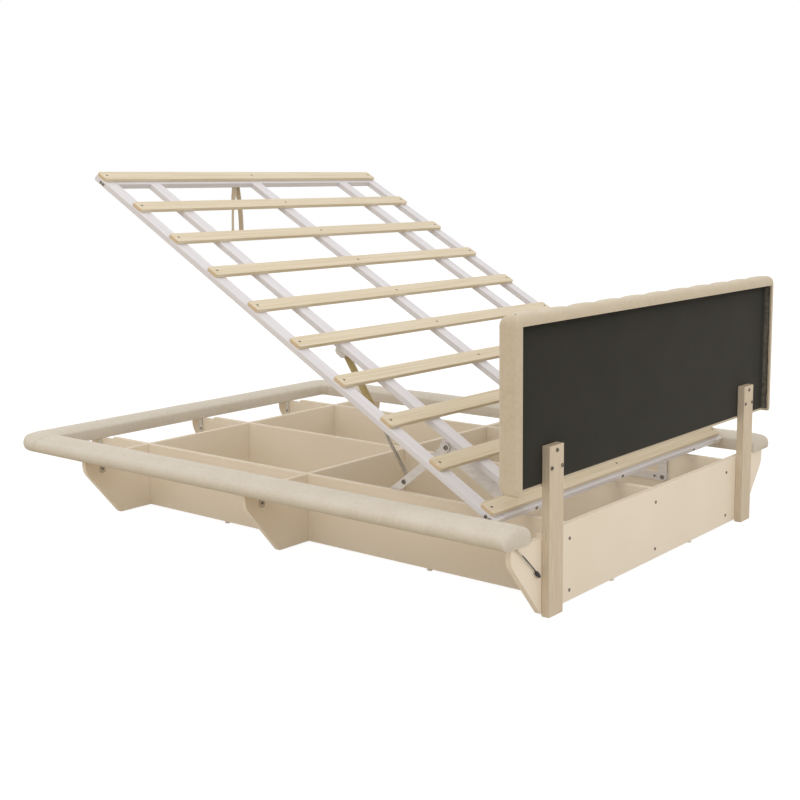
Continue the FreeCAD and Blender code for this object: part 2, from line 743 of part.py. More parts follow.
def slat(v0):
    """One slat with softened corners, drawn flat."""
    x = SLAT_LENGTH / 2
    points = [
        (-x, v0, SLAT_CORNER_R),
        (x, v0, SLAT_CORNER_R),
        (x, v0 + SLAT_W, SLAT_CORNER_R),
        (-x, v0 + SLAT_W, SLAT_CORNER_R),
    ]
    return eased(plate(points, on_xy(-SLAT_T), Vector(0, 0, SLAT_T)), SLAT_EASE, Z_AXIS)


def tube_caps():
    """Push-in caps for the side tubes' ends, drawn flat."""
    shapes = []
    half = TUBE_W / 2
    inside = half - TUBE_WALL - CAP_CLEAR
    low = TUBE_LOW + TUBE_WALL + CAP_CLEAR
    high = TUBE_TOP - TUBE_WALL - CAP_CLEAR
    for x in (-SIDE_TUBE_X, SIDE_TUBE_X):
        for end, sign in ((0.0, 1), (PLATFORM_LENGTH, -1)):
            lip_in = end + sign * CAP_T
            plug_in = lip_in + sign * CAP_PLUG
            lip_y = sorted((end, lip_in))
            plug_y = sorted((lip_in, plug_in))
            lip = rounded_bar(x - half, x + half, *lip_y, TUBE_LOW, TUBE_TOP, Y_AXIS, TUBE_R)
            plug = rounded_bar(x - inside, x + inside, *plug_y, low, high, Y_AXIS, TUBE_R - TUBE_WALL)
            shapes.append(lip.fuse(plug).removeSplitter())
    return shapes


def hanging_web(points):
    """A bracket under an inner tube: an upright web and a flange against the tube, drawn flat."""
    web = plate(points, on_yz(LINK_BRACKET_X), Vector(LINK_BRACKET_T, 0, 0))
    y0 = points[0][0]
    y1 = points[-1][0]
    outer = LINK_BRACKET_X + LINK_BRACKET_T
    flange = box(LINK_BRACKET_X - FLANGE_W, outer, y0, y1, TUBE_LOW - FLANGE_T, TUBE_LOW)
    return web.fuse(flange).removeSplitter()


def link_bracket():
    """The right bracket for both links' upper ends, with its stop pin, drawn flat."""
    y0 = FRONT_EYE_V - LINK_BRACKET_END
    y1 = REAR_EYE_V + LINK_BRACKET_END
    points = [
        (y0, TUBE_LOW, 0),
        (y0, -LINK_BRACKET_LOW, LINK_BRACKET_R),
        (y1, -LINK_BRACKET_LOW, LINK_BRACKET_R),
        (y1, TUBE_LOW, 0),
    ]
    shape = hanging_web(points)
    for v, drop in ((FRONT_EYE_V, FRONT_EYE_DROP), (REAR_EYE_V, REAR_EYE_DROP)):
        bore = rod(Vector(LINK_BRACKET_X - BEYOND, v, -drop), X_AXIS, PIVOT_R + PIVOT_CLEAR, 2 * BEYOND)
        shape = shape.cut(bore)
    pin = Vector(LINK_BRACKET_X, FRONT_EYE_V + STOP_PIN_V, -FRONT_EYE_DROP - STOP_PIN_DROP)
    length = LINK_X + LINK_T - LINK_BRACKET_X
    return shape.fuse(rod(pin, X_AXIS, STOP_PIN_R, length)).removeSplitter()


def strut_bracket():
    """The right bracket with the strut's upper stud, drawn flat."""
    y0 = STRUT_EYE_V - STRUT_PLATE_W / 2
    y1 = STRUT_EYE_V + STRUT_PLATE_W / 2
    points = [
        (y0, TUBE_LOW, 0),
        (y0, -STRUT_PLATE_LOW, STRUT_PLATE_R),
        (y1, -STRUT_PLATE_LOW, STRUT_PLATE_R),
        (y1, TUBE_LOW, 0),
    ]
    shape = hanging_web(points)
    tip = STRUT_X - STRUT_EYE_T / 2
    length = LINK_BRACKET_X + LINK_GAP - tip
    stud = rod(Vector(tip, STRUT_EYE_V, -STRUT_EYE_DROP), X_AXIS, STRUT_STUD_R, length)
    return shape.fuse(stud).removeSplitter()


def frame_bolt_places():
    """The platform's bolts, drawn flat: long ones joining tubes, short ones holding brackets."""
    long_ones = []
    short_ones = []
    middle = (TUBE_LOW + TUBE_TOP) / 2
    face = SIDE_TUBE_X + TUBE_W / 2
    rear = PLATFORM_LENGTH - HEAD_TUBE_IN
    for inset in SIDE_BOLT_INS:
        for v in (FOOT_TUBE_IN + inset, rear - inset):
            long_ones.append((Vector(face, v, middle), X_AXIS.negative()))
            long_ones.append((Vector(-face, v, middle), X_AXIS))
    for x in (-INNER_TUBE_X, 0.0, INNER_TUBE_X):
        long_ones.append((Vector(x, rear, middle), Y_AXIS.negative()))
        long_ones.append((Vector(x, FOOT_TUBE_IN, middle), Y_AXIS))
    low = TUBE_LOW - FLANGE_T
    x = LINK_BRACKET_X - FLANGE_W / 2
    vs = [FRONT_EYE_V - LINK_BRACKET_END + inset for inset in BRACKET_BOLT_INS]
    vs += [STRUT_EYE_V - STRUT_PLATE_BOLT_OUT, STRUT_EYE_V + STRUT_PLATE_BOLT_OUT]
    for v in vs:
        short_ones.append((Vector(x, v, low), Z_AXIS))
        short_ones.append((Vector(-x, v, low), Z_AXIS))
    return long_ones, short_ones


def frame_bolt(spot, direction):
    """A button-head bolt that joins two tubes."""
    return fastener(
        spot, direction, FRAME_BOLT_R, FRAME_BOLT_LENGTH, FRAME_BOLT_HEAD_R, FRAME_BOLT_HEAD
    )


def bracket_bolt(spot, direction):
    """A small bolt that holds a bracket under a tube."""
    return fastener(
        spot, direction, BRACKET_BOLT_R, FRAME_BOLT_SHORT, BRACKET_BOLT_HEAD_R, FRAME_BOLT_HEAD
    )


def slat_screw_places(v0):
    """Where the heads of a slat's screws bear, sunk into it: over both side tubes and the middle one."""
    spots = []
    bearing = -SLAT_SCREW_SINK - WOOD_SCREW_HEAD
    for x in (-SIDE_TUBE_X, 0.0, SIDE_TUBE_X):
        spots.append((Vector(x, v0 + SLAT_W / 2, bearing), Z_AXIS.negative()))
    return spots


def screwed_slat(v0):
    """A slat with its screws' holes and the recesses for their heads."""
    places = slat_screw_places(v0)
    board = drilled(slat(v0), places, WOOD_SCREW_R, SLAT_SCREW_LENGTH)
    recesses = [rod(spot, Z_AXIS, WOOD_SCREW_HEAD_R + HOLE_CLEAR, BEYOND) for spot, way in places]
    return board.cut(recesses)


def slat_screw(spot, direction):
    """A pan-head screw through a slat."""
    return fastener(spot, direction, WOOD_SCREW_R, SLAT_SCREW_LENGTH, WOOD_SCREW_HEAD_R, WOOD_SCREW_HEAD)


def strut():
    """The right gas strut's cylinder and rod, from the platform's stud to the front link."""
    top = at_x(STRUT_EYE, STRUT_X)
    foot = at_x(STRUT_FOOT, STRUT_X)
    axis = foot.sub(top).normalize()
    reach = foot.sub(top).Length
    side = Vector(STRUT_EYE_T / 2, 0, 0)

    def along(distance):
        return top.add(Vector(axis).multiply(distance))

    def eye(centre):
        return rod(centre.sub(side), X_AXIS, STRUT_EYE_R, STRUT_EYE_T)

    def bore(centre):
        start = centre.sub(Vector(STRUT_EYE_T, 0, 0))
        return rod(start, X_AXIS, STRUT_STUD_R + PIVOT_CLEAR, 2 * STRUT_EYE_T)

    neck = rod(top, axis, STRUT_ROD_R, STRUT_NECK)
    body = rod(along(STRUT_NECK), axis, STRUT_BODY_R, STRUT_BODY - STRUT_NECK)
    hollow = rod(along(STRUT_BORE_FROM), axis, STRUT_BORE_R, STRUT_BODY)
    cylinder = eye(top).fuse([neck, body]).removeSplitter().cut([bore(top), hollow])
    shaft = rod(along(STRUT_ROD_FROM), axis, STRUT_ROD_R, reach - STRUT_ROD_FROM)
    piston = eye(foot).fuse(shaft).removeSplitter().cut(bore(foot))
    return cylinder, piston


def strap():
    """A webbing loop hanging plumb from the foot tube, drawn in at the top."""
    top = platform_point(0, STRAP_V, -TUBE_LOW)
    z = top.z - STRAP_GAP - STRAP_W / 2 * math.tan(math.radians(OPEN_ANGLE))

    def ring(inset):
        neck = STRAP_NECK - inset
        half = STRAP_HALF_GAP - inset
        low = z - STRAP_HANG + inset
        shoulder = z - STRAP_SHOULDER_DROP
        bend = half - TINY
        return [
            (STRAP_X - neck, z - inset, 0),
            (STRAP_X + neck, z - inset, 0),
            (STRAP_X + neck, z - STRAP_NECK_DROP, STRAP_NECK),
            (STRAP_X + half, shoulder, STRAP_SHOULDER_DROP),
            (STRAP_X + half, low, bend),
            (STRAP_X - half, low, bend),
            (STRAP_X - half, shoulder, STRAP_SHOULDER_DROP),
            (STRAP_X - neck, z - STRAP_NECK_DROP, STRAP_NECK),
        ]

    start = on_xz(top.y - STRAP_W / 2)
    sweep = Vector(0, STRAP_W, 0)
    return plate(ring(0.0), start, sweep).cut(plate(ring(STRAP_T), start, sweep))


def lead():
    """The short lead out of the right rail's head end, straight runs joined by arcs, and its plug."""
    y = HEAD_Y + PLUG_R + LEAD_GAP
    points = [Vector(x, y, z) for x, z in zip(LEAD_XS, LEAD_ZS)]
    edges = []
    start = points[0]
    radii = []
    for before, corner, after in zip(points, points[1:], points[2:]):
        back = before.sub(corner)
        ahead = after.sub(corner)
        shorter = min(back.Length, ahead.Length)
        half = (math.pi - back.getAngle(ahead)) / 2
        setback = LEAD_BEND_SHARE * shorter
        radius = setback / math.tan(half)
        radii.append(radius)
        e1 = back.normalize()
        e2 = ahead.normalize()
        enter = corner.add(Vector(e1).multiply(setback))
        leave = corner.add(Vector(e2).multiply(setback))
        inward = e1.add(e2).normalize()
        middle = corner.add(Vector(inward).multiply(radius / math.cos(half) - radius))
        edges.append(Part.LineSegment(start, enter).toShape())
        edges.append(Part.Arc(enter, middle, leave).toShape())
        start = leave
    edges.append(Part.LineSegment(start, points[-1]).toShape())
    path = Part.Wire(edges)
    begin = points[1].sub(points[0]).normalize()
    circle = Part.Wire(Part.makeCircle(LEAD_R, points[0], begin))
    tube = path.makePipeShell([circle], True, False)
    print("lead bend radii", [round(radius, 1) for radius in radii])
    print("lead volume", round(tube.Volume, 1), "path", round(path.Length * math.pi * LEAD_R ** 2, 1))
    finish = points[-1].sub(points[-2]).normalize()
    barrel = rod(points[-1], finish, PLUG_R, PLUG_LENGTH)
    tip_from = points[-1].add(Vector(finish).multiply(PLUG_LENGTH))
    return tube, barrel.fuse(rod(tip_from, finish, PLUG_TIP_R, PLUG_TIP)).removeSplitter()


def build_base():
    """The boards, posts, rails, headboard and what holds them."""
    glide_shapes, glide_places = glides()
    plate_shape, plate_places = base_plate()
    brackets, screws, bracket_places = rail_brackets()
    upper, lower = post_bolt_places()
    panel_places = []
    for x in (-LONG_X, 0.0, LONG_X):
        for z in PANEL_SCREW_ZS:
            panel_places.append((Vector(x, HEAD_Y, z), Y_AXIS.negative()))
    both_plates = plate_places + [(Vector(-p.x, p.y, p.z), d.negative()) for p, d in plate_places]

    def finished(board):
        board = drilled(board, glide_places, GLIDE_PLUG_R, GLIDE_PLUG)
        board = drilled(board, bracket_places + both_plates, WOOD_SCREW_R, WOOD_SCREW_LENGTH)
        board = drilled(board, panel_places, PANEL_SCREW_R, PANEL_SCREW_LENGTH)
        return drilled(board, lower, POST_BOLT_R, POST_BOLT_LENGTH)

    parts["long_panel_right"] = finished(long_panel(LONG_X))
    parts["long_panel_centre"] = finished(long_panel(0.0))
    parts["long_panel_left"] = finished(long_panel(-LONG_X))
    parts["foot_panel"] = finished(cross_panel(FOOT_Y, True))
    parts["mid_panel"] = finished(cross_panel(MID_Y, True))
    parts["head_panel"] = finished(cross_panel(HEAD_Y, False))
    parts["floor_glides"] = group(glide_shapes)
    both_sides("lift_base_plate", plate_shape)
    for spot, direction in both_plates:
        screws.append(wood_screw(spot, direction))
    parts["rail_brackets"] = group(brackets)
    parts["wood_screws"] = group(screws)
    screw = []
    for spot, direction in panel_places:
        screw.append(
            fastener(
                spot, direction, PANEL_SCREW_R, PANEL_SCREW_LENGTH, PANEL_SCREW_HEAD_R, PANEL_SCREW_HEAD
            )
        )
    parts["panel_screws"] = group(screw)

    side_core, foot_core = rail_cores()
    left_core = mirrored(side_core)
    cores = [side_core, left_core, foot_core]
    side_form = side_rail_form()
    parts["rail_pad_right"] = side_form.cut(cores)
    parts["rail_pad_left"] = mirrored(side_form).cut(cores)
    parts["rail_pad_foot"] = foot_rail_form().cut(cores)
    for name, core in zip(("right", "left", "foot"), cores):
        parts["rail_core_" + name] = drilled(core, bracket_places, WOOD_SCREW_R, WOOD_SCREW_LENGTH)

    x = POST_X - POST_W / 2
    post = box(x, x + POST_W, HEAD_Y, HEAD_Y + POST_T, 0, POST_TOP)
    post = post.makeFillet(POST_EASE, post.Edges)
    for name, shape in (("post_right", post), ("post_left", mirrored(post))):
        parts[name] = drilled(shape, upper + lower, POST_BOLT_R, POST_BOLT_LENGTH)
    bolts = []
    for spot, direction in upper + lower:
        bolts.append(
            fastener(spot, direction, POST_BOLT_R, POST_BOLT_LENGTH, POST_BOLT_HEAD_R, POST_BOLT_HEAD)
        )
    parts["post_bolts"] = group(bolts)
    parts["headboard_pad"] = headboard_pad()
    parts["headboard_board"] = drilled(headboard_board(), upper, POST_BOLT_R, POST_BOLT_LENGTH)
    parts["headboard_back_cover"] = drilled(headboard_cover(), upper, POST_BOLT_R, POST_BOLT_LENGTH)
    parts["power_lead"], parts["power_plug"] = lead()


def build_links():
    """The links, their pivot bolts and the gas struts."""
    front = link_bar(FRONT_PIVOT, FRONT_EYE, LINK_W, LINK_X)
    front = front.cut([pivot_hole(FRONT_PIVOT), pivot_hole(FRONT_EYE), pivot_hole(STRUT_FOOT)])
    rear = link_bar(REAR_PIVOT, REAR_EYE, REAR_LINK_W, LINK_X)
    rear = rear.cut([pivot_hole(REAR_PIVOT), pivot_hole(REAR_EYE)])
    both_sides("front_link", front)
    both_sides("rear_link", rear)
    through = LINK_BRACKET_GAP + LINK_BRACKET_T
    stud = LINK_X - STRUT_X - STRUT_EYE_T / 2 - STUD_STOP
    front_bolts = [
        base_pivot_bolt(FRONT_PIVOT),
        upper_bolt(FRONT_EYE, through),
        upper_bolt(STRUT_FOOT, stud),
    ]
    rear_bolts = [base_pivot_bolt(REAR_PIVOT), upper_bolt(REAR_EYE, LINK_GAP)]
    parts["front_link_bolts"] = group(front_bolts + [mirrored(bolt) for bolt in front_bolts])
    parts["rear_link_bolts"] = group(rear_bolts + [mirrored(bolt) for bolt in rear_bolts])
    cylinder, piston = strut()
    both_sides("strut_cylinder", cylinder)
    both_sides("strut_rod", piston)


def build_platform():
    """The tubes, slats, brackets and fasteners of the platform, and the strap."""
    long_ones, short_ones = frame_bolt_places()
    rows = [i * SLAT_PITCH for i in range(SLATS)]
    screws = []
    for v0 in rows:
        screws += slat_screw_places(v0)
    inner_from = FOOT_TUBE_IN + TUBE_W + TUBE_BUTT
    head_tube_from = PLATFORM_LENGTH - HEAD_TUBE_IN - TUBE_W
    inner_to = head_tube_from - TUBE_BUTT
    flat = {
        "side_tube_right": tube_along(SIDE_TUBE_X, CAP_T, PLATFORM_LENGTH - CAP_T),
        "side_tube_left": tube_along(-SIDE_TUBE_X, CAP_T, PLATFORM_LENGTH - CAP_T),
        "inner_tube_right": tube_along(INNER_TUBE_X, inner_from, inner_to),
        "inner_tube_left": tube_along(-INNER_TUBE_X, inner_from, inner_to),
        "centre_tube": tube_along(0.0, inner_from, inner_to),
        "foot_tube": tube_across(FOOT_TUBE_IN),
        "head_tube": tube_across(head_tube_from),
    }
    for name, tube in flat.items():
        tube = drilled(tube, long_ones, FRAME_BOLT_R, FRAME_BOLT_LENGTH)
        tube = drilled(tube, short_ones, BRACKET_BOLT_R, FRAME_BOLT_SHORT)
        parts[name] = on_platform(drilled(tube, screws, WOOD_SCREW_R, SLAT_SCREW_LENGTH))
    for i, v0 in enumerate(rows):
        parts["slat_%02d" % (i + 1)] = on_platform(screwed_slat(v0))
    parts["slat_screws"] = on_platform(group([slat_screw(spot, way) for spot, way in screws]))
    bolts = [frame_bolt(spot, way) for spot, way in long_ones]
    bolts += [bracket_bolt(spot, way) for spot, way in short_ones]
    parts["frame_bolts"] = on_platform(group(bolts))
    parts["tube_caps"] = on_platform(
        group([drilled(cap, long_ones, FRAME_BOLT_R, FRAME_BOLT_LENGTH) for cap in tube_caps()])
    )
    for name, shape in (("link_bracket", link_bracket()), ("strut_bracket", strut_bracket())):
        right = drilled(shape, short_ones, BRACKET_BOLT_R, FRAME_BOLT_SHORT)
        parts[name + "_right"] = on_platform(right)
        parts[name + "_left"] = on_platform(mirrored(right))
    strut_brackets = [parts.pop("strut_bracket_right"), parts.pop("strut_bracket_left")]
    parts["strut_brackets"] = group(strut_brackets)
    parts["pull_strap"] = strap()


build_base()
build_links()
build_platform()
os.makedirs("parts", exist_ok=True)
for node, solid in parts.items():
    solid.exportStep("parts/" + node + ".step")
print(len(parts), "parts")
for label, point in (
    ("front pivot", FRONT_PIVOT),
    ("rear pivot", REAR_PIVOT),
    ("front eye", FRONT_EYE),
    ("rear eye", REAR_EYE),
    ("strut eye", STRUT_EYE),
    ("strut foot", STRUT_FOOT),
):
    print(label, round(point.y, 2), round(point.z, 2))
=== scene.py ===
"""Dresses the floating storage bed: padded rails and headboard, back cloth, pull strap, lead, finishes and studio.

Metres, in the part's own frame: +Z up, +Y to the head end, +X to the bed's right side.
"""

import json
import logging
import math
from dataclasses import dataclass
from enum import Enum
from typing import Callable, Optional, Sequence, Union

import bmesh
import bpy
from mathutils import Matrix, Vector, noise
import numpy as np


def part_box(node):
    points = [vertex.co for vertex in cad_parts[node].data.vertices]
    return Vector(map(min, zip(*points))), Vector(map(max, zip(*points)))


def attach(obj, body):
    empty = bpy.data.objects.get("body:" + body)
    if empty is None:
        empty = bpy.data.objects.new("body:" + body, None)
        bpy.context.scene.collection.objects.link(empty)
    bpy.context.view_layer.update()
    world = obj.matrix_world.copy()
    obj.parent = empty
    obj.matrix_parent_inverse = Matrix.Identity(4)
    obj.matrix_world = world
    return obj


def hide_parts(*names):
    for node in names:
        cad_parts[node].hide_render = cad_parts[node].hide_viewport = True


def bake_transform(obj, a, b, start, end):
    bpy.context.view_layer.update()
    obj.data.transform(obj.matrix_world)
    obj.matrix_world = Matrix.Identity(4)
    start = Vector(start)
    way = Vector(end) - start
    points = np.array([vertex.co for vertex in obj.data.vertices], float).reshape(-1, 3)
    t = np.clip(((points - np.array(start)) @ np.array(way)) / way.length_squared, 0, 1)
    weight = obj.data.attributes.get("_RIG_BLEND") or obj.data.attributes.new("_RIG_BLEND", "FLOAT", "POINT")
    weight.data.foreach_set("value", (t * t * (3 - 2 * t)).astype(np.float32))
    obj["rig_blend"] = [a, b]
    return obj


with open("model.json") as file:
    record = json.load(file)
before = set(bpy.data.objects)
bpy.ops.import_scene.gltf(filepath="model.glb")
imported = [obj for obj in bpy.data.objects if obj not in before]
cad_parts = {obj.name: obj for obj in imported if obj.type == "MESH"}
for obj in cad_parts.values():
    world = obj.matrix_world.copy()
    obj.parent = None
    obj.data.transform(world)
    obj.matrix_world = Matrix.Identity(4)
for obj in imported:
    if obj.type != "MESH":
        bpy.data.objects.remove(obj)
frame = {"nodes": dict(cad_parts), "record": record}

Node = bpy.types.Node
Piece = bpy.types.Object
Socket = bpy.types.NodeSocket
Tree = bpy.types.NodeTree

MM = 0.001
WAVE_TURN = 20.0
TINY = 1e-6
# The cloth's attribute that says where its painted crease highlight goes.
FOLD_LAYER = "fold"
WHITE = (1.0, 1.0, 1.0, 1.0)
log = logging.getLogger("floating_bed")


class Slot(Enum):
    """The record's material slots."""

    BOARD = "laminated_board"
    RAIL_TIMBER = "rail_timber"
    UPHOLSTERY = "upholstery"
    BACK_CLOTH = "back_cloth"
    POST_TIMBER = "post_timber"
    SLAT_TIMBER = "slat_timber"
    WHITE_TUBE = "white_tube"
    WHITE_CAP = "white_cap"
    LIFT_STEEL = "lift_steel"
    FASTENER = "dark_fastener"
    STRUT_PAINT = "strut_paint"
    STRUT_ROD = "strut_rod"
    WEBBING = "webbing"
    LEAD = "lead_sheath"
    PLUG = "plug_plastic"
    GLIDE = "glide_plastic"


class Axis(Enum):
    """The way a grain or a draw mark runs, as how stretched a pattern is along X, Y and Z."""

    X = (1, 0, 0)
    Y = (0, 1, 0)
    Z = (0, 0, 1)


def linear(code: str) -> tuple[float, float, float, float]:
    """Turns an sRGB hex colour into a linear one.

    Args:
        code: The colour as six hex digits after a hash sign.

    Returns:
        Red, green, blue and a full alpha.
    """
    parts = [int(code[i:i + 2], 16) / 255 for i in (1, 3, 5)]
    red, green, blue = [c / 12.92 if c <= 0.04045 else ((c + 0.055) / 1.055) ** 2.4 for c in parts]
    return red, green, blue, 1.0


def add_node(tree: Tree, kind: str, links: Optional[dict] = None, **settings) -> Node:
    """Adds a shader node, sets its properties or sockets and links its inputs.

    Args:
        tree: The node tree that gets the node.
        kind: The node's type, without its ShaderNode prefix.
        links: Input names or numbers, each with the output that feeds it.
        settings: Properties and sockets by name, with _ for a space.

    Returns:
        The new node.
    """
    node = tree.nodes.new("ShaderNode" + kind)
    for name, value in settings.items():
        if hasattr(node, name):
            setattr(node, name, value)
        else:
            node.inputs[name.replace("_", " ")].default_value = value
    for name, source in (links or {}).items():
        tree.links.new(source, node.inputs[name])
    return node


class Shading:
    """A material's node tree with its shader and its texture coordinates."""

    def __init__(self, material: bpy.types.Material) -> None:
        """Starts from a new material.

        Args:
            material: The material, which gets its nodes here.
        """
        material.use_nodes = True
        self.tree = material.node_tree
        self.shader = self.tree.nodes["Principled BSDF"]
        where = add_node(self.tree, "TexCoord")
        self.place = where.outputs["Object"]
        self.uv = where.outputs["UV"]

    def feed(self, name: str, source: Socket) -> None:
        """Links a value to one of the shader's inputs."""
        self.tree.links.new(source, self.shader.inputs[name])

    def set(self, **values: float) -> None:
        """Sets the shader's inputs by name, with _ for a space."""
        for name, value in values.items():
            self.shader.inputs[name.replace("_", " ")].default_value = value

    def mapped(self, vector: Socket, **settings) -> Socket:
        """Turns or stretches a vector."""
        return add_node(self.tree, "Mapping", {"Vector": vector}, **settings).outputs[0]

    def noise(self, vector: Socket, scale: float, detail: float, **settings) -> Socket:
        """A cloudy value from 0 to 1."""
        links = {"Vector": vector}
        return add_node(self.tree, "TexNoise", links, Scale=scale, Detail=detail, **settings).outputs["Fac"]

    def wave(self, direction: str, scale: float, distortion: float, **settings) -> Socket:
        """Bands across the piece's own lengths."""
        settings.update(bands_direction=direction, Scale=scale, Distortion=distortion)
        return add_node(self.tree, "TexWave", {"Vector": self.uv}, **settings).outputs["Fac"]

    def cells(self, vector: Socket, scale: float) -> Socket:
        """The distance from the middle of the nearest of many scattered cells."""
        return add_node(self.tree, "TexVoronoi", {"Vector": vector}, Scale=scale).outputs["Distance"]

    def math(self, operation: str, *values: Socket, **settings) -> Socket:
        """Works out a value from one or two others."""
        links = dict(enumerate(values))
        return add_node(self.tree, "Math", links, operation=operation, **settings).outputs[0]

    def ramp(self, value: Socket, low: float = 0.0, high: float = 1.0, start: float = 0.0,
             end: float = 1.0) -> Socket:
        """Spreads the range from low to high over the range from start to end."""
        ranges = {"From_Min": low, "From_Max": high, "To_Min": start, "To_Max": end}
        return add_node(self.tree, "MapRange", {"Value": value}, **ranges).outputs["Result"]

    def facing(self, axis: Axis) -> Socket:
        """How far a face looks along an axis, from -1 to 1."""
        normal = add_node(self.tree, "NewGeometry").outputs["Normal"]
        along = add_node(self.tree, "VectorMath", {0: normal}, operation="DOT_PRODUCT")
        along.inputs[1].default_value = axis.value
        return along.outputs["Value"]

    def blend(self, share: Socket, first: Union[str, Socket], second: str) -> Socket:
        """Mixes two colours.

        Args:
            share: How much of the second colour there is.
            first: The first colour, as sRGB hex or a socket.
            second: The second, as sRGB hex.

        Returns:
            The mixed colour.
        """
        mixed = add_node(self.tree, "MixRGB", {"Fac": share}, Color2=linear(second))
        if isinstance(first, str):
            mixed.inputs["Color1"].default_value = linear(first)
        else:
            self.tree.links.new(first, mixed.inputs["Color1"])
        return mixed.outputs[0]

    def bump(self, height: Socket, strength: float, distance: float, under: Optional[Socket] = None) -> Socket:
        """Bends the normal by a height.

        Args:
            height: The height.
            strength: How much of it shows.
            distance: How far it reaches.
            under: A normal that is already bent.

        Returns:
            The normal.
        """
        links = {"Height": height}
        if under:
            links["Normal"] = under
        return add_node(self.tree, "Bump", links, Strength=strength, Distance=distance).outputs["Normal"]


@dataclass(frozen=True)
class Finish:
    """What every finish has: its name, its two close colours and its gloss."""

    name: str
    light: str
    dark: str
    roughness: float

    def material(self) -> bpy.types.Material:
        """Makes the material, or gives it again where it was made before."""
        found = bpy.data.materials.get(self.name)
        if found:
            return found
        made = bpy.data.materials.new(self.name)
        look = Shading(made)
        look.set(Roughness=self.roughness)
        self.dress(look)
        return made

    def tone(self, look: Shading, share: Socket) -> Socket:
        """Blends the two colours by how much of the dark one there is."""
        return look.blend(share, self.light, self.dark)

    def dress(self, look: Shading) -> None:
        """Adds the finish's own nodes to a material's."""
        raise NotImplementedError


@dataclass(frozen=True)
class WovenCloth(Finish):
    """Close-woven upholstery cloth: matt, with a soft light along its edges and a faint cross weave."""

    thread: float = 2.4 * MM
    mottle: float = 90 * MM
    sheen: float = 0.35

    def dress(self, look: Shading) -> None:
        """Weave from the cloth's own lengths, mottling from its place."""
        # Threads are about 0.5 mm on the real cloth, drawn coarser so that they show in a close view.
        scale = 2 * math.pi / WAVE_TURN / self.thread
        warp, weft = [look.wave(way, scale, 1.2, Detail=1.0) for way in "XY"]
        cloud = look.noise(look.place, 1 / self.mottle, 5.0, Roughness=0.6)
        slub = look.noise(look.uv, 0.2 / self.thread, 2.0)
        share = look.ramp(look.math("MULTIPLY", cloud, slub), 0.12, 0.42)
        look.feed("Base Color", self.tone(look, share))
        look.feed("Normal", look.bump(look.math("MULTIPLY", warp, weft), 0.22, 0.3 * MM))
        look.set(Sheen_Weight=self.sheen, Sheen_Roughness=0.45, Specular_IOR_Level=0.2)


@dataclass(frozen=True)
class NonWoven(Finish):
    """Spun-bonded dust cloth: near black, dull, with fine pressed dimples and slack ripples."""

    # The colour of the painted highlight on the folded edge's creases.
    crease_highlight_tone: str
    dimple: float = 3.2 * MM
    ripple: float = 120 * MM
    crease: float = 17 * MM

    def dress(self, look: Shading) -> None:
        """Dimples in the height, a cloudy tone in the colour and a painted highlight, a lighter grey, on the
        creases where the edge is folded.
        """
        # Bond points are about 1 mm apart on the real cloth, drawn coarser so that they show.
        dimples = look.cells(look.place, 1 / self.dimple)
        slack = look.noise(look.place, 1 / self.ripple, 4.0, Roughness=0.45)
        creases = look.noise(look.place, 1 / self.crease, 3.0)
        folded = add_node(look.tree, "Attribute", attribute_name=FOLD_LAYER).outputs["Fac"]
        # Painted highlight: the folded edge's creases are painted lighter grey, as if they caught the light.
        crease_highlight = look.math("MULTIPLY", folded, look.ramp(creases, 0.3, 0.7, 0.45))
        cloth = self.tone(look, look.ramp(slack, 0.3, 0.7))
        look.feed("Base Color", look.blend(crease_highlight, cloth, self.crease_highlight_tone))
        broad = look.bump(slack, 0.15, 3 * MM)
        look.feed("Normal", look.bump(dimples, 0.12, 0.2 * MM, broad))
        look.set(Specular_IOR_Level=0.25, Sheen_Weight=0.12)


@dataclass(frozen=True)
class Laminate(Finish):
    """Melamine-faced board: an even satin cream with a very slight cloud, a pressed grain and painted shade, a
    darker cream, on its up-facing faces.
    """

    # The edge colour is the painted shade given to faces that look upward.
    edge: str
    cloud: float = 260 * MM
    grain: float = 1.5 * MM

    def dress(self, look: Shading) -> None:
        """A slow cloud in the colour and a fine pressed texture in the height and gloss."""
        slow = look.noise(look.place, 1 / self.cloud, 3.0)
        fine = look.noise(look.place, 1 / self.grain, 3.0)
        face = self.tone(look, look.ramp(slow, 0.3, 0.7))
        # Painted shade: faces that look upward get the darker edge colour.
        top_shade = look.ramp(look.facing(Axis.Z), 0.6, 0.9)
        look.feed("Base Color", look.blend(top_shade, face, self.edge))
        look.feed("Roughness", look.ramp(fine, start=self.roughness - 0.06, end=self.roughness + 0.1))
        look.feed("Normal", look.bump(fine, 0.06, 0.15 * MM))


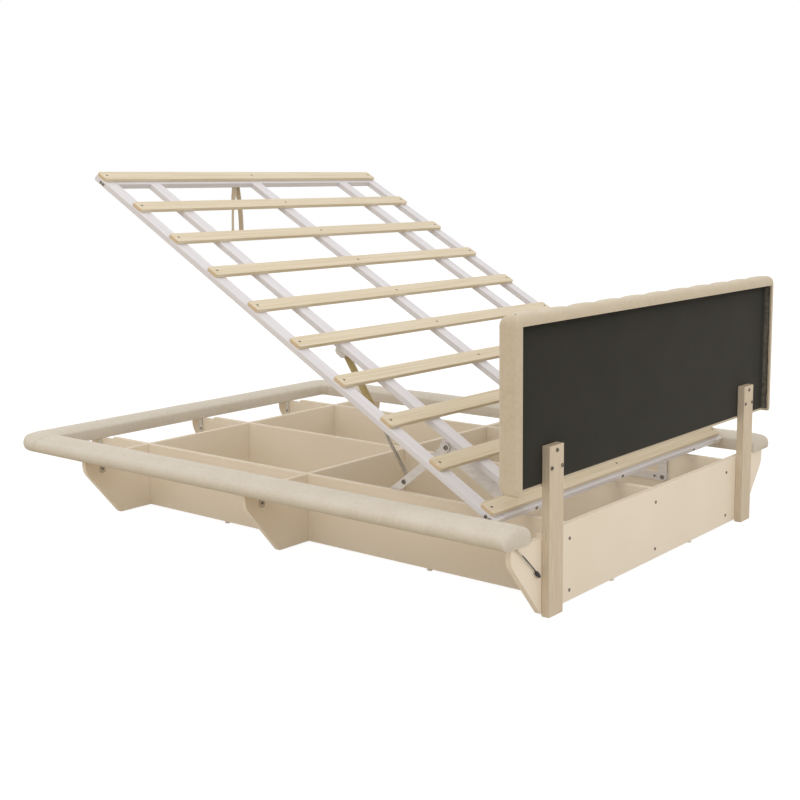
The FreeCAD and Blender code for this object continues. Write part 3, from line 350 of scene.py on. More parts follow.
@dataclass(frozen=True)
class Timber(Finish):
    """Planed pale timber: streaks along the grain, darker end grain and a few small knots."""

    end: str
    grain_along: Axis
    streak: float = 7 * MM
    streak_length: float = 420 * MM
    knot_spacing: float = 330 * MM
    knot_stretch: float = 0.6
    knot: float = 5 * MM
    fleck: float = 0.35

    def dress(self, look: Shading) -> None:
        """Streaks, flecks, knots and end grain, all from the timber's place."""
        way = self.grain_along.value
        grain = look.mapped(look.place, Scale=[1 / (self.streak_length if run else self.streak) for run in way])
        streaks = look.noise(grain, 1.0, 6.0, Roughness=0.62, Distortion=0.4)
        fleck = look.ramp(look.noise(grain, 4.5, 3.0), 0.56, 0.75, end=self.fleck)
        share = look.math("ADD", look.ramp(streaks, 0.36, 0.68), fleck, use_clamp=True)
        spots = [(self.knot_stretch if run else 1.0) / self.knot_spacing for run in way]
        knots = look.cells(look.mapped(look.place, Scale=spots), 1.0)
        ring = self.knot / self.knot_spacing
        core = look.ramp(knots, 0.25 * ring, 1.6 * ring, 0.8, 0.0)
        knotty = look.blend(core, self.tone(look, share), self.end)
        cut = look.ramp(look.math("ABSOLUTE", look.facing(self.grain_along)), 0.6, 0.95, end=0.75)
        look.feed("Base Color", look.blend(cut, knotty, self.end))
        look.feed("Normal", look.bump(streaks, 0.12, 0.4 * MM))
        look.set(Specular_IOR_Level=0.3)


@dataclass(frozen=True)
class PowderCoat(Finish):
    """Baked powder coat on steel: an even semi-gloss with a fine orange peel and faint draw marks."""

    peel: float = 2.0 * MM
    draw: float = 5 * MM
    draw_length: float = 600 * MM
    along: Axis = Axis.Y
    tilt: float = 0.0

    def dress(self, look: Shading) -> None:
        """Draw marks along the tube in the colour, peel in the height."""
        turned = look.mapped(look.place, Rotation=(self.tilt, 0.0, 0.0))
        scales = [1 / (self.draw_length if run else self.draw) for run in self.along.value]
        marks = look.noise(look.mapped(turned, Scale=scales), 1.0, 3.0)
        look.feed("Base Color", self.tone(look, look.ramp(marks, 0.35, 0.72)))
        look.feed("Normal", look.bump(look.noise(look.place, 1 / self.peel, 2.0), 0.1, 0.2 * MM))


@dataclass(frozen=True)
class Metal(Finish):
    """Bare or plated steel: bright with small scuffs that dull it."""

    scuff: float = 9 * MM

    def dress(self, look: Shading) -> None:
        """Scuffs in the colour and the gloss."""
        wear = look.noise(look.place, 1 / self.scuff, 5.0)
        look.feed("Base Color", self.tone(look, look.ramp(wear, 0.4, 0.7)))
        look.feed("Roughness", look.ramp(wear, start=0.7 * self.roughness, end=1.4 * self.roughness))
        look.set(Metallic=1.0)


@dataclass(frozen=True)
class Plastic(Finish):
    """Moulded plastic: even, with the mould's fine grain."""

    grain: float = 1.2 * MM

    def dress(self, look: Shading) -> None:
        """Mould grain in the colour and the height."""
        grain = look.noise(look.place, 1 / self.grain, 2.0)
        look.feed("Base Color", self.tone(look, grain))
        look.feed("Normal", look.bump(grain, 0.08, 0.1 * MM))


@dataclass(frozen=True)
class Webbing(Finish):
    """Flat woven webbing: ribs across, a chevron of light and dark yarn and a matt face."""

    rib: float = 2.2 * MM

    def dress(self, look: Shading) -> None:
        """Ribs and yarn from the strap's own lengths."""
        scale = 2 * math.pi / WAVE_TURN / self.rib
        yarn = look.math("MULTIPLY", look.wave("Y", scale, 0.6), look.wave("DIAGONAL", 0.5 * scale, 0.8))
        look.feed("Base Color", self.tone(look, yarn))
        look.feed("Normal", look.bump(yarn, 0.4, 0.4 * MM))
        look.set(Specular_IOR_Level=0.2)


OPEN_TILT = math.radians(29.33)

UPHOLSTERY = WovenCloth("woven_beige_upholstery", "#d6d1c8", "#cdc6ba", 0.85)
# The headboard gets a darker, yellower copy of the rails' woven cloth: painted shade on its padding.
SHADED_HEADBOARD_CLOTH = WovenCloth("headboard_upholstery_painted_shade", "#cdc3b1", "#c5b9a5", 0.85)
# Its last colour is the painted highlight on the folded edge's creases.
BACK_CLOTH = NonWoven("spunbonded_dust_cloth", "#27261f", "#22211b", 0.9, "#8b8881")
# Its last colour is the painted shade on up-facing faces.
CREAM_BOARD = Laminate("cream_melamine_board", "#efe6d8", "#ebe1d1", 0.42, "#dccfbb")
RAIL_TIMBER = Timber("raw_poplar_core", "#d9c29a", "#c4a678", 0.7, "#a8895c", Axis.Y)
POST_TIMBER = Timber("sanded_rubberwood_post", "#dbd0c0", "#ccbea8", 0.62, "#b8a588", Axis.Z, 3 * MM, 60 * MM)
SLAT_TIMBER = Timber("clear_poplar_slat", "#e0d6c3", "#cfc2a6", 0.55, "#cfb797", Axis.X)
LONG_TUBE = PowderCoat("white_powder_coat", "#dfdee5", "#d4d3db", 0.38, tilt=OPEN_TILT)
CROSS_TUBE = PowderCoat("white_powder_coat_across", "#dfdee5", "#d4d3db", 0.38, along=Axis.X)
LIFT_STEEL = PowderCoat("pale_grey_powder_coat", "#e7e5e7", "#d9d6d9", 0.4, draw=12 * MM, draw_length=30 * MM)
WHITE_CAP = Plastic("white_polyethylene_cap", "#e6e4e3", "#dddad9", 0.5)
FASTENER = Metal("dark_zinc_fastener", "#8a8378", "#5c564d", 0.42)
STRUT_PAINT = PowderCoat("khaki_strut_enamel", "#b8a674", "#a5925f", 0.32, draw=8 * MM, draw_length=8 * MM)
# The rod is darker than bright chrome: a painted reflection of the dark surroundings it mirrors.
STRUT_ROD = Metal("strut_rod_painted_dark_reflection", "#a39a8c", "#8a8173", 0.2)
WEBBING = Webbing("beige_polyester_webbing", "#d8cdba", "#ad9f88", 0.8)
LEAD_SHEATH = Plastic("black_pvc_sheath", "#2f2d2a", "#24221f", 0.45)
LEAD_SLEEVE = Plastic("pale_shrink_sleeve", "#dad4c8", "#cfc8ba", 0.5)
PLUG_PLASTIC = Plastic("black_abs_plug", "#2b2927", "#201e1c", 0.4)
PLUG_TIP = Plastic("black_plug_barrel", "#353230", "#282624", 0.3)
BRACKET_ZINC = Metal("dull_zinc_bracket", "#bdb3a2", "#a79d8b", 0.48)
GLIDE_PLASTIC = Plastic("white_polyethylene_glide", "#f1efea", "#e9e6df", 0.5)

SLOT_FINISHES = {
    Slot.BOARD: CREAM_BOARD,
    Slot.RAIL_TIMBER: RAIL_TIMBER,
    Slot.UPHOLSTERY: UPHOLSTERY,
    Slot.BACK_CLOTH: BACK_CLOTH,
    Slot.POST_TIMBER: POST_TIMBER,
    Slot.SLAT_TIMBER: SLAT_TIMBER,
    Slot.WHITE_TUBE: LONG_TUBE,
    Slot.WHITE_CAP: WHITE_CAP,
    Slot.LIFT_STEEL: LIFT_STEEL,
    Slot.FASTENER: FASTENER,
    Slot.STRUT_PAINT: STRUT_PAINT,
    Slot.STRUT_ROD: STRUT_ROD,
    Slot.WEBBING: WEBBING,
    Slot.LEAD: LEAD_SHEATH,
    Slot.PLUG: PLUG_PLASTIC,
    Slot.GLIDE: GLIDE_PLASTIC,
}
NODE_FINISHES = {"foot_tube": CROSS_TUBE, "head_tube": CROSS_TUBE, "rail_brackets": BRACKET_ZINC}


def put(name: str, data: bpy.types.ID) -> Piece:
    """Puts an object with its data into the scene."""
    made = bpy.data.objects.new(name, data)
    bpy.context.scene.collection.objects.link(made)
    return made


def meshed(source: bmesh.types.BMesh, name: str) -> bpy.types.Mesh:
    """Turns a bmesh into a mesh and frees it."""
    mesh = bpy.data.meshes.new(name)
    source.to_mesh(mesh)
    source.free()
    return mesh


def place_piece(name: str, mesh: bpy.types.Mesh, finish: Finish, sharp: float = 50.0) -> Piece:
    """Puts a finished mesh into the scene as a piece.

    Args:
        name: The piece's name.
        mesh: Its mesh, already in place.
        finish: What covers it.
        sharp: The angle in degrees from which an edge stays sharp.

    Returns:
        The piece's object.
    """
    mesh.materials.append(finish.material())
    mesh.shade_smooth()
    mesh.set_sharp_from_angle(angle=math.radians(sharp))
    return put(name, mesh)


def arc_points(start: Vector, through: Vector, end: Vector, steps: int) -> list[Vector]:
    """Points on the arc through three points of a plane.

    Args:
        start: Where the arc begins.
        through: A point on it.
        end: Where it ends.
        steps: How many points follow the start, the end being the last.

    Returns:
        The points after the start.
    """
    a, b, c = start, through, end
    d = 2 * (a.x * (b.y - c.y) + b.x * (c.y - a.y) + c.x * (a.y - b.y))
    squares = [p.length_squared for p in (a, b, c)]
    x = (squares[0] * (b.y - c.y) + squares[1] * (c.y - a.y) + squares[2] * (a.y - b.y)) / d
    y = (squares[0] * (c.x - b.x) + squares[1] * (a.x - c.x) + squares[2] * (b.x - a.x)) / d
    centre = Vector((x, y))
    first = (a - centre).angle_signed(b - centre)
    second = (b - centre).angle_signed(c - centre)
    turn = first + second
    points = []
    for i in range(1, steps + 1):
        points.append(centre + Matrix.Rotation(-turn * i / steps, 2) @ (a - centre))
    return points


class RingSkin:
    """A skin bridged through rings of points, with the lengths along and round it as its UV map."""

    def __init__(self) -> None:
        """Starts with no rings."""
        self.mesh = bmesh.new()
        self.round_layer = self.mesh.verts.layers.float.new("round")
        self.along_layer = self.mesh.verts.layers.float.new("along")
        self.girth = 0.0
        self.first: list[bmesh.types.BMEdge] = []
        self.last: list[bmesh.types.BMEdge] = []
        self.caps: list[bmesh.types.BMFace] = []

    def ring(self, points: Sequence[Vector], along: float) -> None:
        """Adds a closed ring and bridges it to the one before.

        Args:
            points: The ring's points, as many as in every other ring.
            along: How far along the piece the ring is.
        """
        verts = [self.mesh.verts.new(point) for point in points]
        edges = []
        run = 0.0
        for one, two in zip(verts, verts[1:] + verts[:1]):
            one[self.round_layer] = run
            one[self.along_layer] = along
            run += (two.co - one.co).length
            edges.append(self.mesh.edges.new((one, two)))
        self.girth = max(self.girth, run)
        if self.last:
            bmesh.ops.bridge_loops(self.mesh, edges=self.last + edges)
        else:
            self.first = edges
        self.last = edges

    def fill(self, edges: Sequence[bmesh.types.BMEdge]) -> None:
        """Closes an open loop of edges with one face."""
        self.caps += bmesh.ops.edgeloop_fill(self.mesh, edges=edges)["faces"]

    def cap(self) -> None:
        """Closes both ends."""
        self.fill(self.first)
        self.fill(self.last)

    def cap_in_strips(self, front: int, rear: int, count: int) -> None:
        """Closes both ends, the last ring by strips from its front row to its rear row.

        Args:
            front: The front row's first edge in the ring.
            rear: The rear row's first edge.
            count: How many edges each row has.
        """
        self.fill(self.first)
        rows = self.last[front:front + count] + self.last[rear:rear + count]
        self.caps += bmesh.ops.bridge_loops(self.mesh, edges=rows)["faces"]
        self.fill([edge for edge in self.last if edge.is_boundary])
        self.fill([edge for edge in self.mesh.edges if edge.is_boundary])

    def finish(self, name: str) -> bpy.types.Mesh:
        """Cleans the skin, gives it its UV map and makes it a mesh.

        Args:
            name: The mesh's name.

        Returns:
            The mesh.
        """
        uv = self.mesh.loops.layers.uv.new("cloth")
        caps = set(self.caps)
        for face in self.mesh.faces:
            rounds = [loop.vert[self.round_layer] for loop in face.loops]
            wraps = max(rounds) - min(rounds) > self.girth / 2
            for loop, run in zip(face.loops, rounds):
                if face in caps:
                    loop[uv].uv = (loop.vert.co.x, loop.vert.co.y + loop.vert.co.z)
                else:
                    shift = self.girth if wraps and run < self.girth / 2 else 0.0
                    loop[uv].uv = (run + shift, loop.vert[self.along_layer])
        bmesh.ops.remove_doubles(self.mesh, verts=self.mesh.verts, dist=TINY)
        bmesh.ops.dissolve_degenerate(self.mesh, edges=self.mesh.edges, dist=TINY)
        bmesh.ops.recalc_face_normals(self.mesh, faces=self.mesh.faces)
        self.mesh.verts.layers.float.remove(self.mesh.verts.layers.float["round"])
        self.mesh.verts.layers.float.remove(self.mesh.verts.layers.float["along"])
        return meshed(self.mesh, name)


def share_of(distance: float, run: float) -> float:
    """How much of a run a distance covers, from 0 to 1."""
    return min(1.0, max(0.0, distance / run))


def ripple(point: Vector, wave: float, seed: float) -> float:
    """A smooth value from -1 to 1 that varies with place.

    Args:
        point: Where.
        wave: The size of the ripples.
        seed: Sets one pattern apart from another.

    Returns:
        The value.
    """
    return noise.noise(point / wave + Vector((seed, seed, seed)))


def swell(mesh: bpy.types.Mesh, height: Callable[[Vector, Vector], float]) -> None:
    """Moves each point of a mesh along its normal.

    Args:
        mesh: The mesh.
        height: Gives how far, from a point and its normal.
    """
    moves = [height(vertex.co, vertex.normal) * vertex.normal for vertex in mesh.vertices]
    for vertex, move in zip(mesh.vertices, moves):
        vertex.co += move
    mesh.update()


@dataclass
class Rails:
    """The padded rails: one down each side and one round the foot, over timber cores."""

    inner_foot: float = 2 * MM
    outer_foot: float = 22 * MM
    inner_shoulder: float = 1.5 * MM
    outer_shoulder: float = 20 * MM
    crown: float = 10 * MM
    inner_crown: float = 14 * MM
    edge_round: float = 3.5 * MM
    edge_steps: int = 6
    inner_bulge: float = 0.45
    outer_bulge: float = 0.41
    corner: float = 6 * MM
    corner_squareness: float = 0.6
    core_room: float = 0.3 * MM
    ring_step: float = 24 * MM
    corner_rings: int = 14
    leg_rings: int = 2
    lip: tuple[tuple[float, float], ...] = ((0.0, 3.4 * MM), (1.2 * MM, 1.6 * MM), (3.2 * MM, 0.4 * MM))
    end_steps: int = 8
    end_round: float = 6 * MM
    end_roll: float = 24 * MM
    outer_steps: int = 14
    over_steps: int = 40
    inner_steps: int = 24
    firm_below: float = 3 * MM
    firm_fade: float = 8 * MM
    unevenness: tuple[tuple[float, float, float], ...] = ((0.9 * MM, 170 * MM, 0.0), (0.35 * MM, 45 * MM, 7.0))

    def __post_init__(self) -> None:
        """Takes the rails' and cores' places from the frame."""
        low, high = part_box("rail_pad_right")
        core_low, core_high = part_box("rail_core_right")
        foot_low, foot_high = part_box("rail_pad_foot")
        self.base = core_low.z
        self.top = foot_high.z
        self.outer_x = foot_high.x
        self.foot_y = foot_low.y
        self.head = high.y
        self.seam = core_low.y
        self.leg_end = foot_high.y
        self.core = (core_low.x - self.core_room, core_high.x + self.core_room)
        self.core_top = core_high.z + self.core_room
        self.core_head = core_high.y + self.core_room
        self.width = high.x - low.x
        self.inner_x = self.outer_x - self.width
        self.inner_y = self.foot_y + self.width

    def drawn_in(self, y: float, radius: float) -> float:
        """How far an edge is drawn in near the head end.

        Args:
            y: The place along the bed.
            radius: The radius that rounds the edge.

        Returns:
            The distance.
        """
        past = min(1.0, max(0.0, y - self.head + radius) / radius)
        return radius * (1 - math.sqrt(1 - past ** 2))

    def section(self, inset: float, cored: bool, square: float = 0.0,
                drop: float = 0.0) -> list[tuple[float, float]]:
        """The rail's outline, going round it from its inner lower edge.

        Args:
            inset: How far the outline is drawn in.
            cored: Whether the core's channel is open below.
            square: How much of the outer side's rounding is taken away.
            drop: How much lower the top is.

        Returns:
            Distances from the inner side and heights.
        """
        height = self.top - self.base - inset - drop
        share = height / (self.top - self.base)
        channel = self.core_top - self.base if cored else 0.0
        into = self.core[0] - self.inner_x
        out = self.core[1] - self.inner_x
        inner = Vector((self.inner_foot + inset, 0.0))
        rounding = share * (1 - square)
        outer = Vector((self.width - self.outer_foot * rounding - inset, 0.0))
        far = Vector((self.width - inset - self.outer_shoulder * rounding, height - self.crown * share))
        near = Vector((inset + self.inner_shoulder, height - self.inner_crown * share))
        points = [inner, Vector((into, 0.0)), Vector((into, channel)), Vector((out, channel)), Vector((out, 0.0))]
        points.append(outer)
        points += arc_points(outer, Vector((self.width - inset, self.outer_bulge * height)), far, self.outer_steps)
        over = [far] + arc_points(far, Vector((self.width / 2, height)), near, self.over_steps)
        middle = Vector((inset, self.inner_bulge * height))
        down = [near] + arc_points(near, middle, inner, self.inner_steps)
        over = [point for point in over if (point - near).length > self.edge_round]
        down = [point for point in down if (point - near).length > self.edge_round]
        points += over[1::2]
        for i in range(1, self.edge_steps):
            t = i / self.edge_steps
            points.append(over[-1] * (1 - t) ** 2 + near * 2 * t * (1 - t) + down[0] * t ** 2)
        points += down[:-1:2]
        return [(point.x, point.y) for point in points]

    def side_ring(self, y: float, inset: float, cored: bool = True) -> list[Vector]:
        """A ring of the right rail at a place along the bed."""
        inset += self.drawn_in(y, self.end_round)
        outline = self.section(inset, cored, drop=self.drawn_in(y, self.end_roll))
        return [Vector((self.inner_x + s, y, self.base + h)) for s, h in outline]

    def bent_ring(self, angle: float, inset: float = 0.0) -> list[Vector]:
        """A ring of the foot rail's right corner, at an angle from the side rail's line."""
        centre = Vector((self.inner_x - self.corner, self.inner_y + self.corner, self.base))
        out = Vector((math.cos(angle), -math.sin(angle), 0.0))
        rise = Vector((0.0, 0.0, 1.0))
        square = self.corner_squareness * math.sin(2 * angle)
        return [centre + out * (self.corner + s) + rise * h for s, h in self.section(inset, True, square)]

    def softened(self, mesh: bpy.types.Mesh, seed: float) -> None:
        """Gives the padding its slight unevenness, above its flat underside."""
        def height(point: Vector, normal: Vector) -> float:
            lift = share_of(point.z - self.base - self.firm_below, self.firm_fade)
            return lift * sum(size * ripple(point, wave, seed + apart) for size, wave, apart in self.unevenness)
        swell(mesh, height)

    def side(self, name: str, sign: int) -> Piece:
        """Builds a side rail from its seam to its drawn-in head end.

        Args:
            name: The piece's name.
            sign: 1 for the right side, -1 for the left.

        Returns:
            The piece.
        """
        skin = RingSkin()
        for offset, inset in self.lip:
            skin.ring(self.side_ring(self.seam + offset, inset), offset)
        start = self.seam + 2 * self.lip[-1][0]
        steps = round((self.core_head - start) / self.ring_step)
        for i in range(steps + 1):
            y = start + (self.core_head - start) * i / steps
            skin.ring(self.side_ring(y, 0.0), y - self.seam)
        closed = self.core_head + self.core_room
        skin.ring(self.side_ring(closed, 0.0, False), closed - self.seam)
        for i in range(1, self.end_steps + 1):
            y = self.head - self.end_roll * (1 - math.sin(math.pi / 2 * i / self.end_steps))
            if y > closed:
                skin.ring(self.side_ring(y, 0.0, False), y - self.seam)
        skin.cap()
        mesh = skin.finish(name)
        self.softened(mesh, 3.0 + sign)
        if sign < 0:
            mesh.transform(Matrix.Scale(-1, 4, Vector((1, 0, 0))))
            mesh.flip_normals()
        return place_piece(name, mesh, UPHOLSTERY)

    def foot(self, name: str) -> Piece:
        """Builds the foot rail: a leg, a turned corner, the straight run, a corner and a leg."""
        skin = RingSkin()
        rings = []
        for offset, inset in self.lip:
            rings.append(self.side_ring(self.leg_end - offset, inset))
        corner_y = self.inner_y + self.corner
        start = self.leg_end - 2 * self.lip[-1][0]
        for i in range(self.leg_rings):
            rings.append(self.side_ring(start + (corner_y - start) * i / self.leg_rings, 0.0))
        for i in range(self.corner_rings + 1):
            rings.append(self.bent_ring(math.pi / 2 * i / self.corner_rings))
        half = self.inner_x - self.corner
        steps = round(half / self.ring_step)
        for i in range(1, steps + 1):
            x = half * (1 - i / steps)
            rings.append([Vector((x, self.inner_y - s, self.base + h)) for s, h in self.section(0.0, True)])
        mirrored = [[Vector((-point.x, point.y, point.z)) for point in ring] for ring in reversed(rings[:-1])]
        along = 0.0
        before = None
        for ring in rings + mirrored:
            middle = sum(ring, Vector()) / len(ring)
            along += (middle - before).length if before else 0.0
            before = middle
            skin.ring(ring, along)
        skin.cap()
        mesh = skin.finish(name)
        self.softened(mesh, 9.0)
        return place_piece(name, mesh, UPHOLSTERY)

    def build(self) -> None:
        """Builds the three rails in place of the plain ones."""
        pieces = {
            "rail_pad_right": self.side("right_rail_padding", 1),
            "rail_pad_left": self.side("left_rail_padding", -1),
            "rail_pad_foot": self.foot("foot_rail_padding"),
        }
        for node, piece in pieces.items():
            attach(piece, "base")
            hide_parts(node)
            log.info("%s: %d faces", piece.name, len(piece.data.polygons))


@dataclass
class Headboard:
    """The channelled headboard with its rim round the back, and the black cloth across it."""

    channels: int = 11
    channel_steps: int = 16
    bulge: float = 13 * MM
    crest_power: float = 2.2
    seam_power: float = 0.72
    crown_fade: float = 0.75
    top_scallop: float = 6 * MM
    dip_power: float = 3.0
    scallop_back: float = 4 * MM
    scallop_run: float = 20 * MM
    rear_corner: float = 10 * MM
    corner: float = 9 * MM
    corner_steps: int = 4
    side_steps: int = 6
    wall_steps: int = 4
    cap: float = 33 * MM
    cap_steps: int = 9
    cap_power: float = 2.3
    cap_front: float = 32 * MM
    cap_rear: float = 21 * MM
    cap_side: float = 17 * MM
    bottom_cap: float = 22 * MM
    bottom_front: float = 18 * MM
    bottom_side: float = 4 * MM
    ring_step: float = 9 * MM
    cover_lap: float = 1 * MM
    cover_room: float = 0.5 * MM
    cloth_grid: tuple[int, int] = (260, 76)
    cloth_thickness: float = 0.4 * MM
    side_room: float = 0.8 * MM
    top_room: float = 0.3 * MM
    turn_up: float = 21 * MM
    side_lean: float = 2.8 * MM
    top_lean: float = 4.5 * MM
    wrinkle: float = 3.2 * MM
    wrinkle_run: float = 19 * MM
    tack: tuple[float, float, float] = (1.6 * MM, 13 * MM, 4 * MM)
    slack: tuple[float, float, float] = (0.5 * MM, 140 * MM, 60 * MM)

    def __post_init__(self) -> None:
        """Takes the headboard's place from the frame."""
        low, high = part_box("headboard_pad")
        self.half = high.x
        self.bottom = low.z
        self.top = high.z
        self.rear = high.y
        self.front = low.y + self.bulge
        cover_low, cover_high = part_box("headboard_back_cover")
        self.rim = high.x - cover_high.x
        self.back = cover_low.y
        self.cover_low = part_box("headboard_board")[0].z + self.cover_lap
        self.cover_top = cover_high.z

    def seam_share(self, x: float) -> float:
        """How near a place across the headboard is to a seam, from 0 on a channel's crest to 1 in the seam."""
        pitch = 2 * self.half / self.channels
        return abs(2 * (((x + self.half) / pitch) % 1.0) - 1)

    def bulging(self, x: float) -> float:
        """How full a channel is at a place across the headboard, from 0 in a seam to 1."""
        return max(0.0, 1 - self.seam_share(x) ** self.crest_power) ** self.seam_power

    def plan(self, front: float, side: float, rear: float, notch: float,
             fullness: float = 1.0) -> list[tuple[float, float]]:
        """The outline from above, from the front left corner round to the same corner.

        Args:
            front: How far the front is drawn in.
            side: How far the sides are drawn in.
            rear: How far the back is drawn in.
            notch: How far the back inside the rim lies behind the rim.
            fullness: How much of the channels' bulge is left.

        Returns:
            Points as X and Y.
        """
        half = self.half - side
        y_front = self.front + front
        y_rear = self.rear - rear
        points = []
        count = self.channels * self.channel_steps
        straight = half - self.corner
        for i in range(count + 1):
            x = -straight + 2 * straight * i / count
            bulge = self.bulge * fullness * self.bulging(x * self.half / half)
            points.append((x, y_front - bulge))
        corner = []
        for i in range(1, self.corner_steps + 1):
            turn = math.pi / 2 * i / self.corner_steps
            corner.append((straight + self.corner * math.sin(turn), y_front + self.corner * (1 - math.cos(turn))))
        side_from = y_front + self.corner
        rear_corner = min(self.rear_corner, (y_rear - side_from) / 2)
        side_to = y_rear - rear_corner
        for i in range(1, self.side_steps + 1):
            corner.append((half, side_from + (side_to - side_from) * i / self.side_steps))
        for i in range(1, self.corner_steps + 1):
            turn = math.pi / 2 * i / self.corner_steps
            corner.append((half - rear_corner * (1 - math.cos(turn)), side_to + rear_corner * math.sin(turn)))
        inside = half - self.rim
        for i in range(self.wall_steps + 1):
            corner.append((inside, y_rear - notch * i / self.wall_steps))
        points += corner
        for i in range(1, count):
            points.append((inside - 2 * inside * i / count, y_rear - notch))
        points += [(-x, y) for x, y in reversed(corner)]
        return points

    def scalloped(self, ring: list[tuple[float, float]], z: float, share: float) -> list[Vector]:
        """Sets a ring at a height, dipped at the channels' seams near the front.

        Args:
            ring: The ring from above.
            z: Its height.
            share: How much of the dip it gets.

        Returns:
            The ring's points.
        """
        points = []
        for x, y in ring:
            forward = share_of(self.rear - self.scallop_back - y, self.scallop_run)
            dip = self.top_scallop * share * forward * self.seam_share(x) ** self.dip_power
            points.append(Vector((x, y, z - dip)))
        return points

    def padding(self, name: str) -> Piece:
        """Builds the upholstered body, ring by ring from its underside to its crown."""
        skin = RingSkin()
        depth = self.rear - self.back - self.cloth_thickness / 2
        along = 0.0
        for i in range(self.cap_steps, -1, -1):
            rise = i / self.cap_steps
            inset = 1 - (1 - rise ** self.cap_power) ** (1 / self.cap_power)
            z = self.bottom + self.bottom_cap * (1 - rise)
            along += self.bottom_cap / self.cap_steps
            ring = self.plan(self.bottom_front * inset, self.bottom_side * inset, 0.0, depth)
            skin.ring(self.scalloped(ring, z, 0.0), along)
        low = self.bottom + self.bottom_cap
        high = self.cover_top + self.cover_room
        steps = round((high - low) / self.ring_step)
        for i in range(1, steps + 1):
            z = low + (high - low) * i / steps
            skin.ring(self.scalloped(self.plan(0.0, 0.0, 0.0, depth), z, 0.0), along + z - low)
        along += high - low
        skin.ring(self.scalloped(self.plan(0.0, 0.0, 0.0, 0.0), high + self.cover_room, 0.0), along)
        for i in range(1, self.cap_steps + 1):
            turn = math.pi / 2 * i / self.cap_steps
            rise = math.sin(turn)
            inset = 1 - max(0.0, 1 - rise ** self.cap_power) ** (1 / self.cap_power)
            along += self.cap / self.cap_steps
            fullness = 1 - self.crown_fade * inset
            ring = self.plan(self.cap_front * inset, self.cap_side * inset, self.cap_rear * inset, 0.0, fullness)
            skin.ring(self.scalloped(ring, high + (self.top - high) * rise, rise), along)
        row = self.channels * self.channel_steps
        turn_points = 2 * self.corner_steps + self.side_steps + self.wall_steps + 1
        skin.cap_in_strips(0, row + turn_points, row)
        mesh = skin.finish(name)
        return place_piece(name, mesh, SHADED_HEADBOARD_CLOTH)

    def stretched(self, place: Vector, half: float, top: float) -> Vector:
        """Where a point of the flat cloth ends up.

        Args:
            place: The point, with the cloth flat against the back.
            half: Half the width of the back inside the rim.
            top: The height of the rim's lower side.

        Returns:
            The point on the back, or out along the rim.
        """
        past_side = max(0.0, abs(place.x) - half)
        past_top = max(0.0, place.z - top)
        past = max(past_side, past_top)
        x = math.copysign(min(abs(place.x), half), place.x)
        z = min(place.z, top)
        lean = self.side_lean if past_side > past_top else self.top_lean
        crease = past / self.turn_up * (self.wrinkle * ripple(place, self.wrinkle_run, 2.0) + lean)
        if past_side > 0:
            x -= math.copysign(crease, place.x)
        if past_top > 0:
            z -= crease
        y = self.back + self.cloth_thickness + past
        if past == 0:
            near_side = half - abs(x)
            height, from_side, spread = self.tack
            y += height * math.exp(-((near_side - from_side) / spread) ** 2)
            height, wave, fade = self.slack
            y += height * (0.5 + 0.5 * ripple(place, wave, 5.0)) * min(1.0, near_side / fade)
        return Vector((x, y, z))

    def cloth(self, name: str) -> Piece:
        """Builds the black cloth: stretched over the back, its edges turned out along the rim."""
        half = self.half - self.rim - self.side_room
        top = self.cover_top - self.top_room
        width = 2 * (half + self.turn_up)
        length = top + self.turn_up - self.cover_low
        mesh = bmesh.new()
        uv = mesh.loops.layers.uv.new("cloth")
        fold = mesh.verts.layers.float.new(FOLD_LAYER)
        bmesh.ops.create_grid(mesh, x_segments=self.cloth_grid[0], y_segments=self.cloth_grid[1], size=0.5)
        for face in mesh.faces:
            for loop in face.loops:
                loop[uv].uv = (loop.vert.co.x * width, loop.vert.co.y * length)
        for vert in mesh.verts:
            place = Vector((vert.co.x * width, 0.0, self.cover_low + (vert.co.y + 0.5) * length))
            past_side = max(0.0, abs(place.x) - half)
            # The fold weight places the cloth's painted highlight on its turned-up edge.
            vert[fold] = math.sin(math.pi * min(1.0, past_side / self.turn_up)) ** 0.5
            vert.co = self.stretched(place, half, top)
        bmesh.ops.recalc_face_normals(mesh, faces=mesh.faces)
        piece = place_piece(name, meshed(mesh, name), BACK_CLOTH)
        thick = piece.modifiers.new("cloth thickness", "SOLIDIFY")
        thick.thickness = self.cloth_thickness
        thick.offset = 0.0
        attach(piece, "base")
        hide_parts("headboard_back_cover")
        return piece

    def build(self) -> None:
        """Builds the padding and the cloth in place of the plain ones."""
        piece = self.padding("headboard_padding")
        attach(piece, "base")
        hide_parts("headboard_pad")
        log.info("%s: %d faces", piece.name, len(piece.data.polygons))
        cloth = self.cloth("headboard_dust_cloth")
        log.info("%s: %d faces", cloth.name, len(cloth.data.polygons))


def smooth_curve(name: str, points: Sequence[Vector], order: int, fineness: int) -> bpy.types.Curve:
    """Makes a smooth curve that begins and ends at its first and last points.

    Args:
        name: The curve's name.
        points: The points that draw it.
        order: How many of them act on each stretch.
        fineness: How many steps each stretch has.

    Returns:
        The curve.
    """
    curve = bpy.data.curves.new(name, "CURVE")
    curve.dimensions = "3D"
    curve.resolution_u = fineness
    spline = curve.splines.new("NURBS")
    spline.points.add(len(points) - 1)
    for point, place in zip(spline.points, points):
        point.co = (*place, 1.0)
    spline.order_u = order
    spline.use_endpoint_u = True
    return curve


